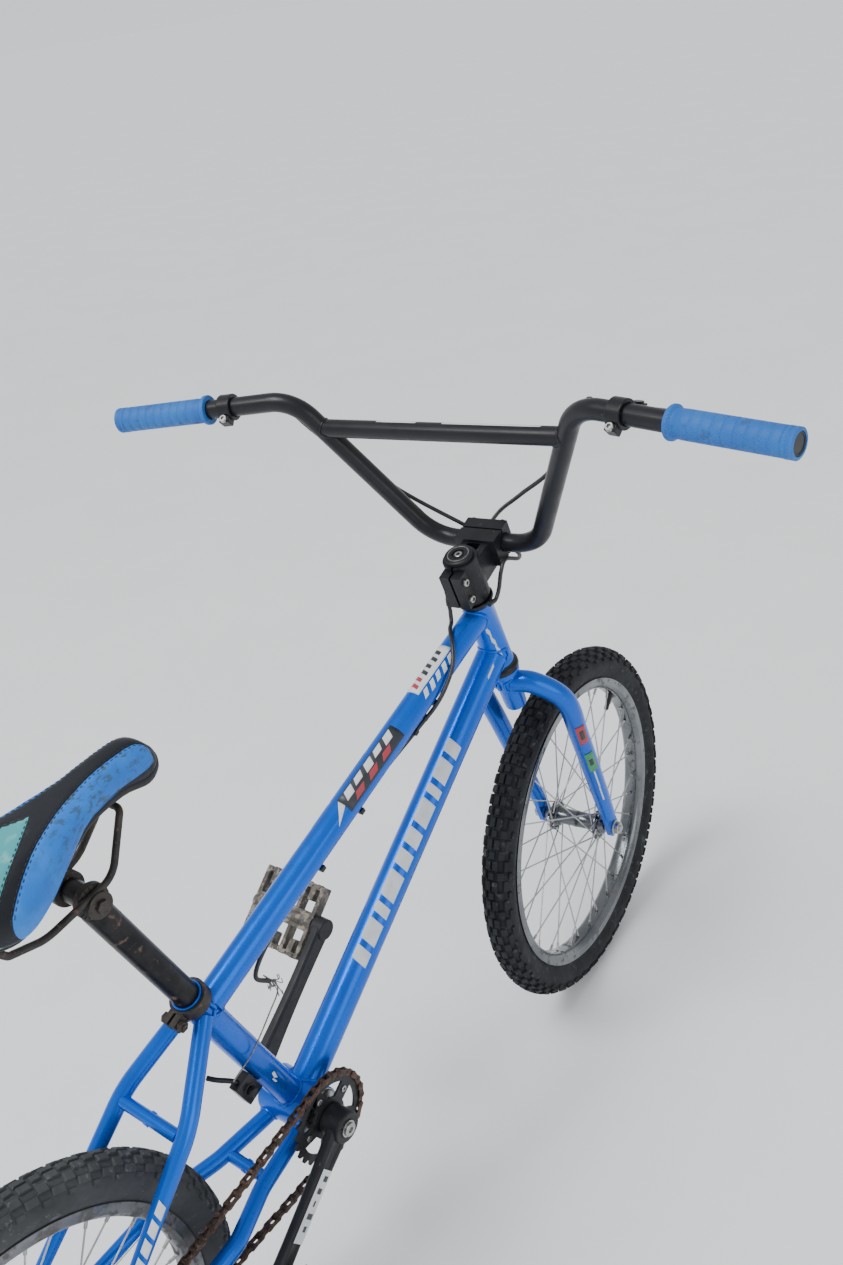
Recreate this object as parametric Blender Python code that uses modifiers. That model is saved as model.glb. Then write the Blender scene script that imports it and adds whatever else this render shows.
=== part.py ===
"""A BMX bicycle with 20-inch wheels, a V-shaped bar with a crossbar, a front-load stem, a rigid
unicrown fork, loose-ball hubs and single-speed drive.

Units are metres, +X points forwards, +Y to the rider's left and +Z up. The wheels stand on Z = 0
and the origin lies midway between the axles. The handlebar is turned a few degrees to the left.
"""
import math

import bmesh
import bpy
from mathutils import Matrix, Quaternion, Vector

# ---------------------------------------------------------------- driving dimensions
GAP = 0.0003                             # kept between pieces that touch
HALF_WHEELBASE = 0.4916
WHEEL_RADIUS = 0.252
TYRE_HALF_WIDTH = 0.0242
TYRE_WALL = 0.0042
RIM_LIP = 0.2085
RIM_BED = 0.2014
RIM_INNER = 0.1915
RIM_HALF_WIDTH = 0.015
SPOKES = 36
SPOKE_RADIUS = 0.001
SPOKE_CROSS_ANGLE = math.radians(60)     # three-cross lacing

HEAD_ANGLE = math.radians(73.6)
FORK_OFFSET = 0.0337
STEER = math.radians(5.94)               # bar turned left at rest
STEERER_RADIUS = 0.0143
HEAD_TUBE_RADIUS = 0.018
CUP_RADIUS = 0.0222
# heights along the steering axis, from the foot of the fork offset
STEERER_BOTTOM = 0.290
CROWN_RACE = (0.350, 0.358)
LOWER_CUP = (0.3584, 0.3697)
HEAD_TUBE = (0.370, 0.470)
UPPER_CUP = (0.4703, 0.4786)
SPACER = (0.4790, 0.4832)
STEM = (0.4836, 0.5400)
TOP_CAP = (0.5404, 0.5460)
TOP_TUBE_AT_HEAD = 0.4538
DOWN_TUBE_AT_HEAD = 0.390

BB_X = -0.109
BB_HEIGHT = 0.286
BB_SHELL_RADIUS = 0.028
BB_SHELL_HALF = 0.034
BB_BORE = 0.0256
SPINDLE_RADIUS = 0.0095
SEAT_ANGLE = math.radians(69.5)
SEAT_TUBE_LENGTH = 0.258
SEAT_TUBE_RADIUS = 0.0159
SEAT_POST_RADIUS = 0.0136
SEAT_POST_BOTTOM = 0.165
SEAT_CLAMP = (0.2405, 0.2565)
SADDLE_PIVOT = 0.449                     # along the seat tube from the bottom bracket
TOP_TUBE_RADIUS = 0.0159
TOP_TUBE_BELOW_TOP = 0.035
DOWN_TUBE_RADIUS = 0.019
STAY_RADIUS = 0.0093
STAY_END_SCALE = 0.65                    # the stays taper to the dropouts
DROPOUT_MIDDLE = 0.0578
DROPOUT_THICKNESS = 0.005
SLOT_HALF = 0.0054
AXLE_RADIUS = 0.00475
HUB_BORE = 0.0051
BOSS_RADIUS = 0.0105                     # hub boss that carries the freewheeling driver

BAR_RADIUS = 0.0111
BAR_REACH = 0.0564                       # clamp centre ahead of the steering axis
BAR_HEIGHT = 0.5167                      # clamp centre along the steering axis
BAR_ROLL = math.radians(-5.2)            # bar leans back of the steering axis
BAR_BASE_HALF = 0.0705
BAR_SHOULDER_HALF = 0.1778
BAR_HALF_WIDTH = 0.4122
BAR_RISE = 0.2126
CROSSBAR_RISE = 0.1708
BACKSWEEP = math.radians(11.9)
UPSWEEP = math.radians(1.4)
GRIP_LENGTH = 0.128
GRIP_RADIUS = 0.015
GRIP_FLANGE = 0.0175
BRACKET_OUT = {"left": 0.262, "right": 0.231}
LEVER_DROP = math.radians(-34)           # lever plane, below level
LEVER_PIVOT = (0.0, 0.030)

CHAINLINE = 0.0465
PITCH = 0.0127
CHAIN_WIDTH = 0.0084
RING_TEETH = 25
COG_TEETH = 9
DRIVER_RADIUS = 0.0145
CRANK_ANGLE = math.radians(-32)          # left crank forwards and up
CRANK_LENGTH = 0.178
PEDAL_INNER = 0.0865
PEDAL_OUTER = 0.182
PEDAL_HALF = 0.045                       # half its length from front to back
PEDAL_TILT = {"left": math.radians(-39), "right": 0.0}

# saddle sections in the saddle's own level axes: x, half width, underside, top
SADDLE_STATIONS = [
    (0.1122, 0.006, 0.0700, 0.0840), (0.1062, 0.014, 0.0620, 0.0934),
    (0.0902, 0.022, 0.0580, 0.1090), (0.0612, 0.024, 0.0640, 0.1084),
    (0.0192, 0.032, 0.0620, 0.1014), (-0.0188, 0.048, 0.0484, 0.0954),
    (-0.0538, 0.064, 0.0354, 0.0924), (-0.0838, 0.074, 0.0314, 0.0934),
    (-0.1138, 0.072, 0.0434, 0.0994), (-0.1338, 0.050, 0.0584, 0.1014),
    (-0.1398, 0.030, 0.0734, 0.0974)]
SHELL_DEPTH = 0.008

CABLE_RADIUS = 0.0025
# routes along the bar and round the stem, in the steering axes
CABLE_ROUTES = {
    "left": [(0.062, 0.190, 0.662), (0.070, 0.161, 0.625), (0.070, 0.108, 0.574),
             (0.076, 0.044, 0.524), (0.080, 0.012, 0.500), (0.079, -0.020, 0.482),
             (0.060, -0.034, 0.489), (0.040, -0.031, 0.505), (0.024, -0.031, 0.500),
             (0.012, -0.029, 0.484), (0.000, -0.028, 0.477), (-0.012, -0.027, 0.481)],
    "right": [(0.066, -0.117, 0.628), (0.068, -0.061, 0.582), (0.081, -0.018, 0.545),
              (0.091, 0.012, 0.512), (0.087, 0.034, 0.482), (0.055, 0.044, 0.470),
              (0.015, 0.036, 0.479), (-0.010, 0.028, 0.494), (-0.021, 0.0205, 0.497),
              (-0.0262, 0.0193, 0.4865)]}
CABLE_FROM_HEAD = [(-0.0300, 0.0160, 0.4785), (-0.0380, 0.0130, 0.4685)]
CABLE_ON_FRAME = [
    (0.2768, 0.0050, 0.6800), (0.2598, -0.0095, 0.6720), (0.2481, -0.0172, 0.6602),
    (0.2380, -0.0196, 0.6495), (0.2227, -0.0190, 0.6345), (0.2060, -0.0150, 0.6200),
    (0.1800, -0.0080, 0.6052), (0.1000, 0.0000, 0.5760), (0.0000, 0.0000, 0.5408),
    (-0.0800, 0.0000, 0.5100), (-0.1180, -0.0020, 0.4830), (-0.1060, -0.0060, 0.4650),
    (-0.1000, -0.0080, 0.4520), (-0.1250, -0.0150, 0.4390), (-0.1600, -0.0190, 0.4190),
    (-0.1880, -0.0150, 0.4030)]
WIRE_POINTS = 4

BLUE = (0.004, 0.100, 0.620)
BLACK = (0.012, 0.013, 0.015)
STEEL = (0.52, 0.53, 0.54)

# ---------------------------------------------------------------- scene and materials
for old in list(bpy.data.objects):
    bpy.data.objects.remove(old)
bike = bpy.data.collections.new("bmx_bike")
cutters = bpy.data.collections.new("cutters")
bpy.context.scene.collection.children.link(bike)
bpy.context.scene.collection.children.link(cutters)


def material(name, colour, roughness, metallic=0.0):
    made = bpy.data.materials.new(name)
    made.use_nodes = True
    shader = made.node_tree.nodes["Principled BSDF"]
    shader.inputs["Base Color"].default_value = (*colour, 1.0)
    shader.inputs["Roughness"].default_value = roughness
    shader.inputs["Metallic"].default_value = metallic
    return made


PAINT = material("blue_paint", BLUE, 0.25, 0.3)
BLACK_PAINT = material("black_paint", BLACK, 0.35)
BARE_STEEL = material("bare_steel", STEEL, 0.3, 1.0)
CHROME = material("chrome", (0.7, 0.71, 0.73), 0.15, 1.0)
RUSTY = material("rusty_steel", (0.12, 0.06, 0.035), 0.7, 0.6)
TYRE_RUBBER = material("tyre_rubber", (0.02, 0.021, 0.023), 0.8)
GRIP_RUBBER = material("grip_rubber", (0.03, 0.22, 0.62), 0.6)
COVER = material("saddle_cover", (0.05, 0.24, 0.7), 0.55)
PLASTIC = material("black_plastic", BLACK, 0.5)


# ---------------------------------------------------------------- building blocks
def empty(name, matrix, parent=None):
    made = bpy.data.objects.new(name, None)
    bike.objects.link(made)
    made.parent = parent
    made.matrix_local = matrix
    return made


def finished(obj, mat, parent, sharp=35):
    """Files a mesh object with the bike, under its parent, with its material."""
    for collection in list(obj.users_collection):
        collection.objects.unlink(obj)
    bike.objects.link(obj)
    obj.parent = parent
    obj.data.materials.clear()
    obj.data.materials.append(mat)
    if obj.type == "MESH":
        obj.data.shade_smooth()
        obj.data.set_sharp_from_angle(angle=math.radians(sharp))
    return obj


def from_bmesh(name, bm):
    mesh = bpy.data.meshes.new(name)
    bm.to_mesh(mesh)
    bm.free()
    obj = bpy.data.objects.new(name, mesh)
    bpy.context.scene.collection.objects.link(obj)
    return obj


def along(start, end):
    """The matrix that puts Z along the line from start to end, centred between them."""
    start, end = Vector(start), Vector(end)
    turn = (end - start).to_track_quat("Z", "Y").to_matrix().to_4x4()
    return Matrix.Translation((start + end) / 2) @ turn


def rod(name, start, end, radius, sides=20):
    bm = bmesh.new()
    length = (Vector(end) - Vector(start)).length
    bmesh.ops.create_cone(
        bm, cap_ends=True, segments=sides, radius1=radius,
        radius2=radius, depth=length, matrix=along(start, end))
    return from_bmesh(name, bm)


def block(name, low, high):
    low, high = Vector(low), Vector(high)
    bm = bmesh.new()
    size = Matrix.Diagonal((*(high - low), 1.0))
    bmesh.ops.create_cube(bm, size=1.0, matrix=Matrix.Translation((low + high) / 2) @ size)
    return from_bmesh(name, bm)


def turned(name, profile, axis="Z", steps=20, closed=True):
    """A profile of (radius, height) turned round an axis, with its outer side running downwards."""
    turn = Matrix.Rotation(math.radians(-90), 4, "X") if axis == "Y" else Matrix.Identity(4)
    mesh = bpy.data.meshes.new(name)
    count = len(profile)
    edges = [(i, i + 1) for i in range(count - 1)]
    if closed:
        edges.append((count - 1, 0))
    mesh.from_pydata([(r, 0.0, h) for r, h in profile], edges, [])
    obj = bpy.data.objects.new(name, mesh)
    bpy.context.scene.collection.objects.link(obj)
    screw = obj.modifiers.new("turn", "SCREW")
    screw.steps = screw.render_steps = steps
    screw.use_merge_vertices = True
    screw.merge_threshold = 0.00001
    return as_mesh(obj, turn)


def as_mesh(obj, matrix=None):
    """The evaluated object as a plain mesh with its caps welded, moved by a matrix."""
    bpy.context.view_layer.update()
    graph = bpy.context.evaluated_depsgraph_get()
    mesh = bpy.data.meshes.new_from_object(obj.evaluated_get(graph))
    bm = bmesh.new()
    bm.from_mesh(mesh)
    bmesh.ops.remove_doubles(bm, verts=bm.verts, dist=0.000002)
    bmesh.ops.transform(bm, matrix=matrix or Matrix.Identity(4), verts=bm.verts)
    bm.to_mesh(mesh)
    bm.free()
    name = obj.name
    bpy.data.objects.remove(obj)
    made = bpy.data.objects.new(name, mesh)
    bpy.context.scene.collection.objects.link(made)
    return made


def tube(name, path, radius, sides=12, radii=None):
    """A round tube through the points of a path. radii scale it at each point."""
    curve = bpy.data.curves.new(name, "CURVE")
    curve.dimensions = "3D"
    curve.bevel_depth = radius
    curve.bevel_resolution = (sides - 4) // 2
    curve.use_fill_caps = True
    spline = curve.splines.new("POLY")
    spline.points.add(len(path) - 1)
    for point, place in zip(spline.points, path):
        point.co = (*place, 1.0)
    for point, scale in zip(spline.points, radii or []):
        point.radius = scale
    obj = bpy.data.objects.new(name, curve)
    bpy.context.scene.collection.objects.link(obj)
    return as_mesh(obj)


def plate(name, outlines, thickness, matrix):
    """A flat plate from one outer outline and its holes, in the XY plane of the matrix."""
    curve = bpy.data.curves.new(name, "CURVE")
    curve.dimensions = "2D"
    curve.fill_mode = "BOTH"
    curve.extrude = thickness / 2
    for outline in outlines:
        spline = curve.splines.new("POLY")
        spline.points.add(len(outline) - 1)
        spline.use_cyclic_u = True
        for point, (x, y) in zip(spline.points, outline):
            point.co = (x, y, 0.0, 1.0)
    obj = bpy.data.objects.new(name, curve)
    bpy.context.scene.collection.objects.link(obj)
    return as_mesh(obj, matrix)


def combine(obj, other, operation):
    """Applies one exact Boolean of another object on this one."""
    modifier = obj.modifiers.new(operation.lower(), "BOOLEAN")
    modifier.operation = operation
    modifier.solver = "EXACT"
    modifier.object = other
    name = obj.name
    obj = as_mesh(obj)
    obj.name = name
    bpy.data.objects.remove(other)
    return obj


def cut(obj, *others):
    for other in others:
        obj = combine(obj, other, "DIFFERENCE")
    return obj


def join(obj, *others):
    for other in others:
        obj = combine(obj, other, "UNION")
    return obj


def rounded_path(corners, radii, steps=4):
    """Straight runs between corners, each inner corner an arc of its radius."""
    corners = [Vector(c) for c in corners]
    path = [corners[0]]
    for before, corner, after, radius in zip(corners, corners[1:], corners[2:], radii):
        back = (before - corner).normalized()
        ahead = (after - corner).normalized()
        half = back.angle(ahead) / 2
        centre = corner + (back + ahead).normalized() * radius / math.sin(half)
        first = corner + back * radius / math.tan(half) - centre
        last = corner + ahead * radius / math.tan(half) - centre
        axis = first.cross(last)
        for k in range(steps + 1):
            path.append(centre + Quaternion(axis, first.angle(last) * k / steps) @ first)
    path.append(corners[-1])
    return path


def smooth_path(points, per_span=4):
    """A Catmull-Rom curve through hand-chosen points."""
    points = [Vector(p) for p in points]
    ends = [2 * points[0] - points[1], *points, 2 * points[-1] - points[-2]]
    path = []
    for a, b, c, d in zip(ends, ends[1:], ends[2:], ends[3:]):
        for k in range(per_span):
            t = k / per_span
            path.append(0.5 * (2 * b + (c - a) * t + (2 * a - 5 * b + 4 * c - d) * t * t
                               + (3 * b - a - 3 * c + d) * t ** 3))
    path.append(points[-1])
    return path


def arc(centre, radius, start, end, steps):
    """Points (x, y) on an arc, angles in degrees."""
    angles = [math.radians(start + (end - start) * k / steps) for k in range(steps + 1)]
    return [(centre[0] + radius * math.cos(a), centre[1] + radius * math.sin(a)) for a in angles]


def mirrored(side, point):
    return (point[0], point[1] * side, point[2])


SIDES = {"left": 1, "right": -1}

# ---------------------------------------------------------------- axes
LEAN = Matrix.Rotation(HEAD_ANGLE - math.pi / 2, 4, "Y")
SEAT_LEAN = Matrix.Rotation(SEAT_ANGLE - math.pi / 2, 4, "Y")
front_axle_at = Vector((HALF_WHEELBASE, 0, WHEEL_RADIUS))
steering_foot = front_axle_at - LEAN @ Vector((FORK_OFFSET, 0, 0))
head_frame = Matrix.Translation(steering_foot) @ LEAN
bb_frame = Matrix.Translation((BB_X, 0, BB_HEIGHT))
seat_frame = bb_frame @ SEAT_LEAN
rear_axle_frame = Matrix.Translation((-HALF_WHEELBASE, 0, WHEEL_RADIUS))

root = empty("bike_root", Matrix.Identity(4))
head = empty("head_tube_axis", head_frame, root)
steering = empty("steering_axis", Matrix.Rotation(STEER, 4, "Z"), head)
front_wheel = empty("front_wheel_axis", Matrix.Translation((FORK_OFFSET, 0, 0)), steering)
rear_wheel = empty("rear_wheel_axis", rear_axle_frame, root)
bottom_bracket = empty("bottom_bracket_axis", bb_frame, root)
seat = empty("seat_tube_axis", seat_frame, root)
bar = empty("bar_axis", Matrix.Translation((BAR_REACH, 0, BAR_HEIGHT))
            @ Matrix.Rotation(BAR_ROLL, 4, "Y"), steering)
crank = empty("crank_axis", bb_frame @ Matrix.Rotation(CRANK_ANGLE, 4, "Y"), root)
saddle = empty("saddle_pivot",
               Matrix.Translation((0, 0, SADDLE_PIVOT)) @ SEAT_LEAN.inverted(), seat)


def head_point(height, forward=0.0, side=0.0):
    return head_frame @ Vector((forward, side, height))


def seat_point(height, forward=0.0, side=0.0):
    return seat_frame @ Vector((forward, side, height))


# ---------------------------------------------------------------- frame
def head_cutter():
    return rod("cutter", head_point(0.28), head_point(0.56), HEAD_TUBE_RADIUS + GAP)


def lower_cup_cutter():
    return rod("cutter", head_point(0.30), head_point(LOWER_CUP[1] + GAP), CUP_RADIUS + GAP)


def seat_tube_cutter():
    return rod("cutter", seat_point(-0.05), seat_point(0.32), SEAT_TUBE_RADIUS + GAP)


def bb_cutter():
    return rod("cutter", (BB_X, -0.06, BB_HEIGHT), (BB_X, 0.06, BB_HEIGHT), BB_SHELL_RADIUS + GAP)


def ring(name, outer, inner, low, high, axis="Z", steps=20):
    return turned(name, [(outer, high), (outer, low), (inner, low), (inner, high)], axis, steps)


def make_main_tubes():
    finished(ring("head_tube", HEAD_TUBE_RADIUS, STEERER_RADIUS + 0.0013, *HEAD_TUBE), PAINT, head)
    seat_tube = ring("seat_tube", SEAT_TUBE_RADIUS, SEAT_POST_RADIUS + 0.0004, 0.01,
                     SEAT_TUBE_LENGTH)
    shell_across = rod("cutter", (0, -0.06, 0), (0, 0.06, 0), BB_SHELL_RADIUS + GAP)
    finished(cut(seat_tube, shell_across), PAINT, seat)
    top_tube = rod("top_tube", head_point(TOP_TUBE_AT_HEAD),
                   seat_point(SEAT_TUBE_LENGTH - TOP_TUBE_BELOW_TOP), TOP_TUBE_RADIUS)
    finished(cut(top_tube, head_cutter(), seat_tube_cutter()), PAINT, root)
    down_tube = rod("down_tube", head_point(DOWN_TUBE_AT_HEAD), (BB_X, 0, BB_HEIGHT),
                    DOWN_TUBE_RADIUS)
    down_tube = cut(down_tube, head_cutter(), lower_cup_cutter(), bb_cutter(), seat_tube_cutter())
    finished(down_tube, PAINT, root)
    finished(ring("bb_shell", BB_SHELL_RADIUS, BB_BORE, -BB_SHELL_HALF, BB_SHELL_HALF, "Y"),
             PAINT, bottom_bracket)


def make_stays():
    """Seat stays, chain stays, their bridges and the slotted dropouts."""
    for side_name, side in SIDES.items():
        seat_stay = [(-0.1945, 0.0120, 0.5008), (-0.268, 0.0465, 0.4388), (-0.4405, 0.0578, 0.2934)]
        path = rounded_path([mirrored(side, p) for p in seat_stay], [0.12])
        slim = [1.0] * (len(path) - 1) + [STAY_END_SCALE]
        stay = tube("seat_stay_" + side_name, path, STAY_RADIUS, sides=14, radii=slim)
        finished(cut(stay, seat_tube_cutter()), PAINT, root)
        chain_stay = [(-0.118, 0.020, 0.277), (-0.205, 0.0330, 0.270), (-0.262, 0.0520, 0.264),
                      (-0.4486, 0.0578, 0.2525)]
        path = rounded_path([mirrored(side, p) for p in chain_stay], [0.08, 0.08])
        slim = [1.0] * (len(path) - 1) + [STAY_END_SCALE]
        stay = tube("chain_stay_" + side_name, path, STAY_RADIUS, sides=14, radii=slim)
        finished(cut(stay, bb_cutter()), PAINT, root)
        outline = [(0.0423, -0.009), (0.0423, 0.008), (0.040, 0.017), (0.0550, 0.0362),
                   (0.0462, 0.0466), (0.018, 0.024), (-0.010, 0.015), (-0.026, 0.013),
                   (-0.026, SLOT_HALF)]
        outline += arc((0, 0), SLOT_HALF, 90, -90, 8)
        outline += [(-0.026, -SLOT_HALF), (-0.026, -0.013), (-0.005, -0.016), (0.022, -0.011)]
        upright = Matrix.Translation((0, side * DROPOUT_MIDDLE, 0)) @ Matrix.Rotation(
            math.radians(90), 4, "X")
        finished(plate("dropout_" + side_name, [outline], DROPOUT_THICKNESS, upright),
                 PAINT, rear_wheel, sharp=25)
    for name, (x, z), half in (("seat_stay_bridge", (-0.277, 0.433), 0.0362),
                               ("chain_stay_bridge", (-0.194, 0.270), 0.0204)):
        bridge = rod(name, (x, -half, z), (x, half, z), 0.0068, sides=20)
        hole = rod("cutter", (x - 0.02, 0, z - 0.006), (x + 0.02, 0, z + 0.006), 0.0028, sides=12)
        finished(cut(bridge, hole), PAINT, root)


def make_frame_fittings():
    """Headset cups, bottom bracket cups, seat clamp and the cable block behind the seat tube."""
    bore = STEERER_RADIUS + 0.0006
    low, high = LOWER_CUP
    finished(turned("headset_lower_cup", [(0.0185, high), (0.0215, high - 0.004),
                                          (CUP_RADIUS, low + 0.002), (CUP_RADIUS, low),
                                          (bore, low), (bore, high)]), BLACK_PAINT, head)
    low, high = UPPER_CUP
    finished(turned("headset_upper_cup", [(CUP_RADIUS, high), (CUP_RADIUS, high - 0.003),
                                          (0.0190, low + 0.001), (0.0188, low),
                                          (bore, low), (bore, high)]), BLACK_PAINT, head)
    for side_name, side in SIDES.items():
        face, lip = BB_SHELL_HALF + GAP, BB_SHELL_HALF + 0.003
        profile = [(0.0268, lip), (0.0268, face), (BB_BORE - GAP, face), (BB_BORE - GAP, 0.020),
                   (SPINDLE_RADIUS + 0.0005, 0.020), (SPINDLE_RADIUS + 0.0005, lip)]
        if side < 0:
            profile = [(r, -h) for r, h in reversed(profile)]
        finished(turned("bb_cup_" + side_name, profile, axis="Y"), BARE_STEEL, bottom_bracket)
    low, high = SEAT_CLAMP
    clamp = ring("seat_clamp", 0.0195, SEAT_TUBE_RADIUS + GAP, low, high)
    lugs = block("lugs", (-0.032, -0.0085, low + 0.001), (-0.0165, 0.0085, high - 0.001))
    slot = block("cutter", (-0.040, -0.0015, low - 0.01), (-0.012, 0.0015, high + 0.01))
    middle = (low + high) / 2
    hole = rod("cutter", (-0.0258, -0.02, middle), (-0.0258, 0.02, middle), 0.0034, sides=16)
    finished(cut(join(clamp, lugs), slot, hole), RUSTY, seat)
    bolt = rod("seat_clamp_bolt", (-0.0258, -0.016, middle), (-0.0258, 0.016, middle), 0.003,
               sides=16)
    bolt_head = rod("head", (-0.0258, -0.0142, middle), (-0.0258, -0.0088, middle), 0.0062, sides=6)
    nut = rod("nut", (-0.0258, 0.0088, middle), (-0.0258, 0.0138, middle), 0.0062, sides=6)
    finished(join(bolt, bolt_head, nut), RUSTY, seat)
    low, high = (-0.0385, -0.0140, 0.088), (-0.0164, -0.0020, 0.122)
    anchor = join(block("cable_anchor", low, high),
                  rod("stud", (-0.028, -0.0215, 0.104), (-0.028, 0.003, 0.104), 0.0040, sides=16))
    finished(anchor, BLACK_PAINT, seat)


# ---------------------------------------------------------------- steering
def make_fork():
    race_low, race_high = CROWN_RACE
    steerer = turned("steerer_tube", [
        (0.0, STEM[1] - 0.003), (STEERER_RADIUS, STEM[1] - 0.003), (STEERER_RADIUS, race_high),
        (0.0205, race_high), (0.0205, race_low), (STEERER_RADIUS, race_low - 0.002),
        (STEERER_RADIUS, STEERER_BOTTOM), (0.0, STEERER_BOTTOM)], closed=False)
    finished(steerer, PAINT, steering)
    for side_name, side in SIDES.items():
        route = [(0.000, 0.006, 0.333), (0.008, 0.034, 0.325), (0.018, 0.0615, 0.288),
                 (0.0235, 0.0600, 0.210), (0.0300, 0.0560, 0.090), (0.0330, 0.0537, 0.026)]
        path = smooth_path([mirrored(side, p) for p in route], per_span=3)
        count = len(path)
        radii = [1.0 - 0.26 * (k / (count - 1)) ** 2 for k in range(count)]
        leg = tube("fork_leg_" + side_name, path, 0.0143, sides=12, radii=radii)
        outline = [(-0.0115, 0.050), (-0.0125, 0.0)]
        outline += arc((0, 0), 0.0135, 200, 240, 3)
        outline += [(-SLOT_HALF, -0.0128), *arc((0, 0), SLOT_HALF, 180, 0, 8),
                    (SLOT_HALF, -0.0128)]
        outline += arc((0, 0), 0.0135, 300, 340, 3)
        outline += [(0.0125, 0.0), (0.0115, 0.050)]
        upright = Matrix.Translation((FORK_OFFSET, side * 0.0537, 0)) @ Matrix.Rotation(
            math.radians(90), 4, "X")
        tip = plate("tip", [outline], 0.0070, upright)
        steerer_room = rod("cutter", (0, 0, 0.25), (0, 0, race_low), STEERER_RADIUS + GAP)
        race_room = rod("cutter", (0, 0, race_low - 0.003), (0, 0, 0.38), 0.0205 + GAP)
        finished(cut(join(leg, tip), steerer_room, race_room), PAINT, steering)


def make_stem():
    low, high = STEM
    finished(ring("headset_spacer", 0.0190, STEERER_RADIUS + GAP, *SPACER), BLACK_PAINT, steering)
    body = rod("stem_body", (0, 0, low), (0, 0, high), 0.0205)
    arm = block("arm", (0.008, -0.0175, low + 0.010), (0.050, 0.0175, high - 0.008))
    bar_clamp = block("clamp", (0.036, -0.0265, BAR_HEIGHT - 0.0195),
                      (BAR_REACH - 0.001, 0.0265, BAR_HEIGHT + 0.0195))
    lugs = block("lugs", (-0.031, -0.014, low + 0.004), (-0.010, 0.014, high - 0.005))
    steerer_bore = rod("cutter", (0, 0, low - 0.01), (0, 0, high + 0.01), STEERER_RADIUS + GAP)
    bar_bore = rod("cutter", (BAR_REACH, -0.05, BAR_HEIGHT), (BAR_REACH, 0.05, BAR_HEIGHT),
                   BAR_RADIUS + GAP)
    slot = block("cutter", (-0.040, -0.0016, low - 0.01), (-0.008, 0.0016, high + 0.01))
    body = cut(join(body, arm, bar_clamp, lugs), steerer_bore, bar_bore, slot)
    finished(body, BLACK_PAINT, steering)
    faceplate = block("stem_faceplate", (BAR_REACH + 0.001, -0.0265, BAR_HEIGHT - 0.0195),
                      (BAR_REACH + 0.0170, 0.0265, BAR_HEIGHT + 0.0195))
    bar_bore = rod("cutter", (BAR_REACH, -0.05, BAR_HEIGHT), (BAR_REACH, 0.05, BAR_HEIGHT),
                   BAR_RADIUS + GAP)
    finished(cut(faceplate, bar_bore), BLACK_PAINT, steering)
    low, high = TOP_CAP
    cap = turned("top_cap", [(0.0, high), (0.0150, high), (0.0172, high - 0.0015), (0.0172, low),
                             (0.0, low)], closed=False)
    finished(cap, BLACK_PAINT, steering)


def bar_end(side):
    """The shoulder and the end of the bar on one side, in the bar's own axes."""
    run = BAR_HALF_WIDTH - BAR_SHOULDER_HALF
    shoulder = Vector((0, side * BAR_SHOULDER_HALF, BAR_RISE))
    end = Vector((-run * math.tan(BACKSWEEP), side * BAR_HALF_WIDTH,
                  BAR_RISE + run * math.tan(UPSWEEP)))
    return shoulder, end


def grip_frame(side, out):
    """A frame on the bar's axis, this far out from the middle: X outwards along the bar."""
    shoulder, end = bar_end(side)
    outward = (end - shoulder).normalized()
    up = (Vector((0, 0, 1)) - outward * outward.z).normalized()
    turn = Matrix((outward, up.cross(outward), up)).transposed().to_4x4()
    at = shoulder + (end - shoulder) * (out - BAR_SHOULDER_HALF) / (
        BAR_HALF_WIDTH - BAR_SHOULDER_HALF)
    return Matrix.Translation(at) @ turn


def make_bar():
    left_shoulder, left_end = bar_end(1)
    right_shoulder, right_end = bar_end(-1)
    corners = [left_end, left_shoulder, (0, BAR_BASE_HALF, 0), (0, -BAR_BASE_HALF, 0),
               right_shoulder, right_end]
    path = rounded_path(corners, [0.050, 0.052, 0.052, 0.050])
    handlebar = tube("handlebar", path, BAR_RADIUS, sides=14)
    share = CROSSBAR_RISE / BAR_RISE
    reach = BAR_BASE_HALF + (BAR_SHOULDER_HALF - BAR_BASE_HALF) * share
    crossbar = rod("crossbar", (0, -reach, CROSSBAR_RISE), (0, reach, CROSSBAR_RISE), 0.0105,
                   sides=12)
    finished(join(handlebar, crossbar), BLACK_PAINT, bar)
    for side_name, side in SIDES.items():
        at = empty("grip_axis_" + side_name, grip_frame(side, BAR_HALF_WIDTH), bar)
        length, bore = GRIP_LENGTH, BAR_RADIUS + GAP
        grip = turned("grip_" + side_name, [
            (GRIP_RADIUS, 0.001), (GRIP_RADIUS, -length + 0.005), (GRIP_FLANGE, -length + 0.004),
            (GRIP_FLANGE, -length), (bore, -length), (bore, 0.001)], steps=24)
        grip.data.transform(Matrix.Rotation(math.radians(90), 4, "Y"))
        finished(grip, GRIP_RUBBER, at)


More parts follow.
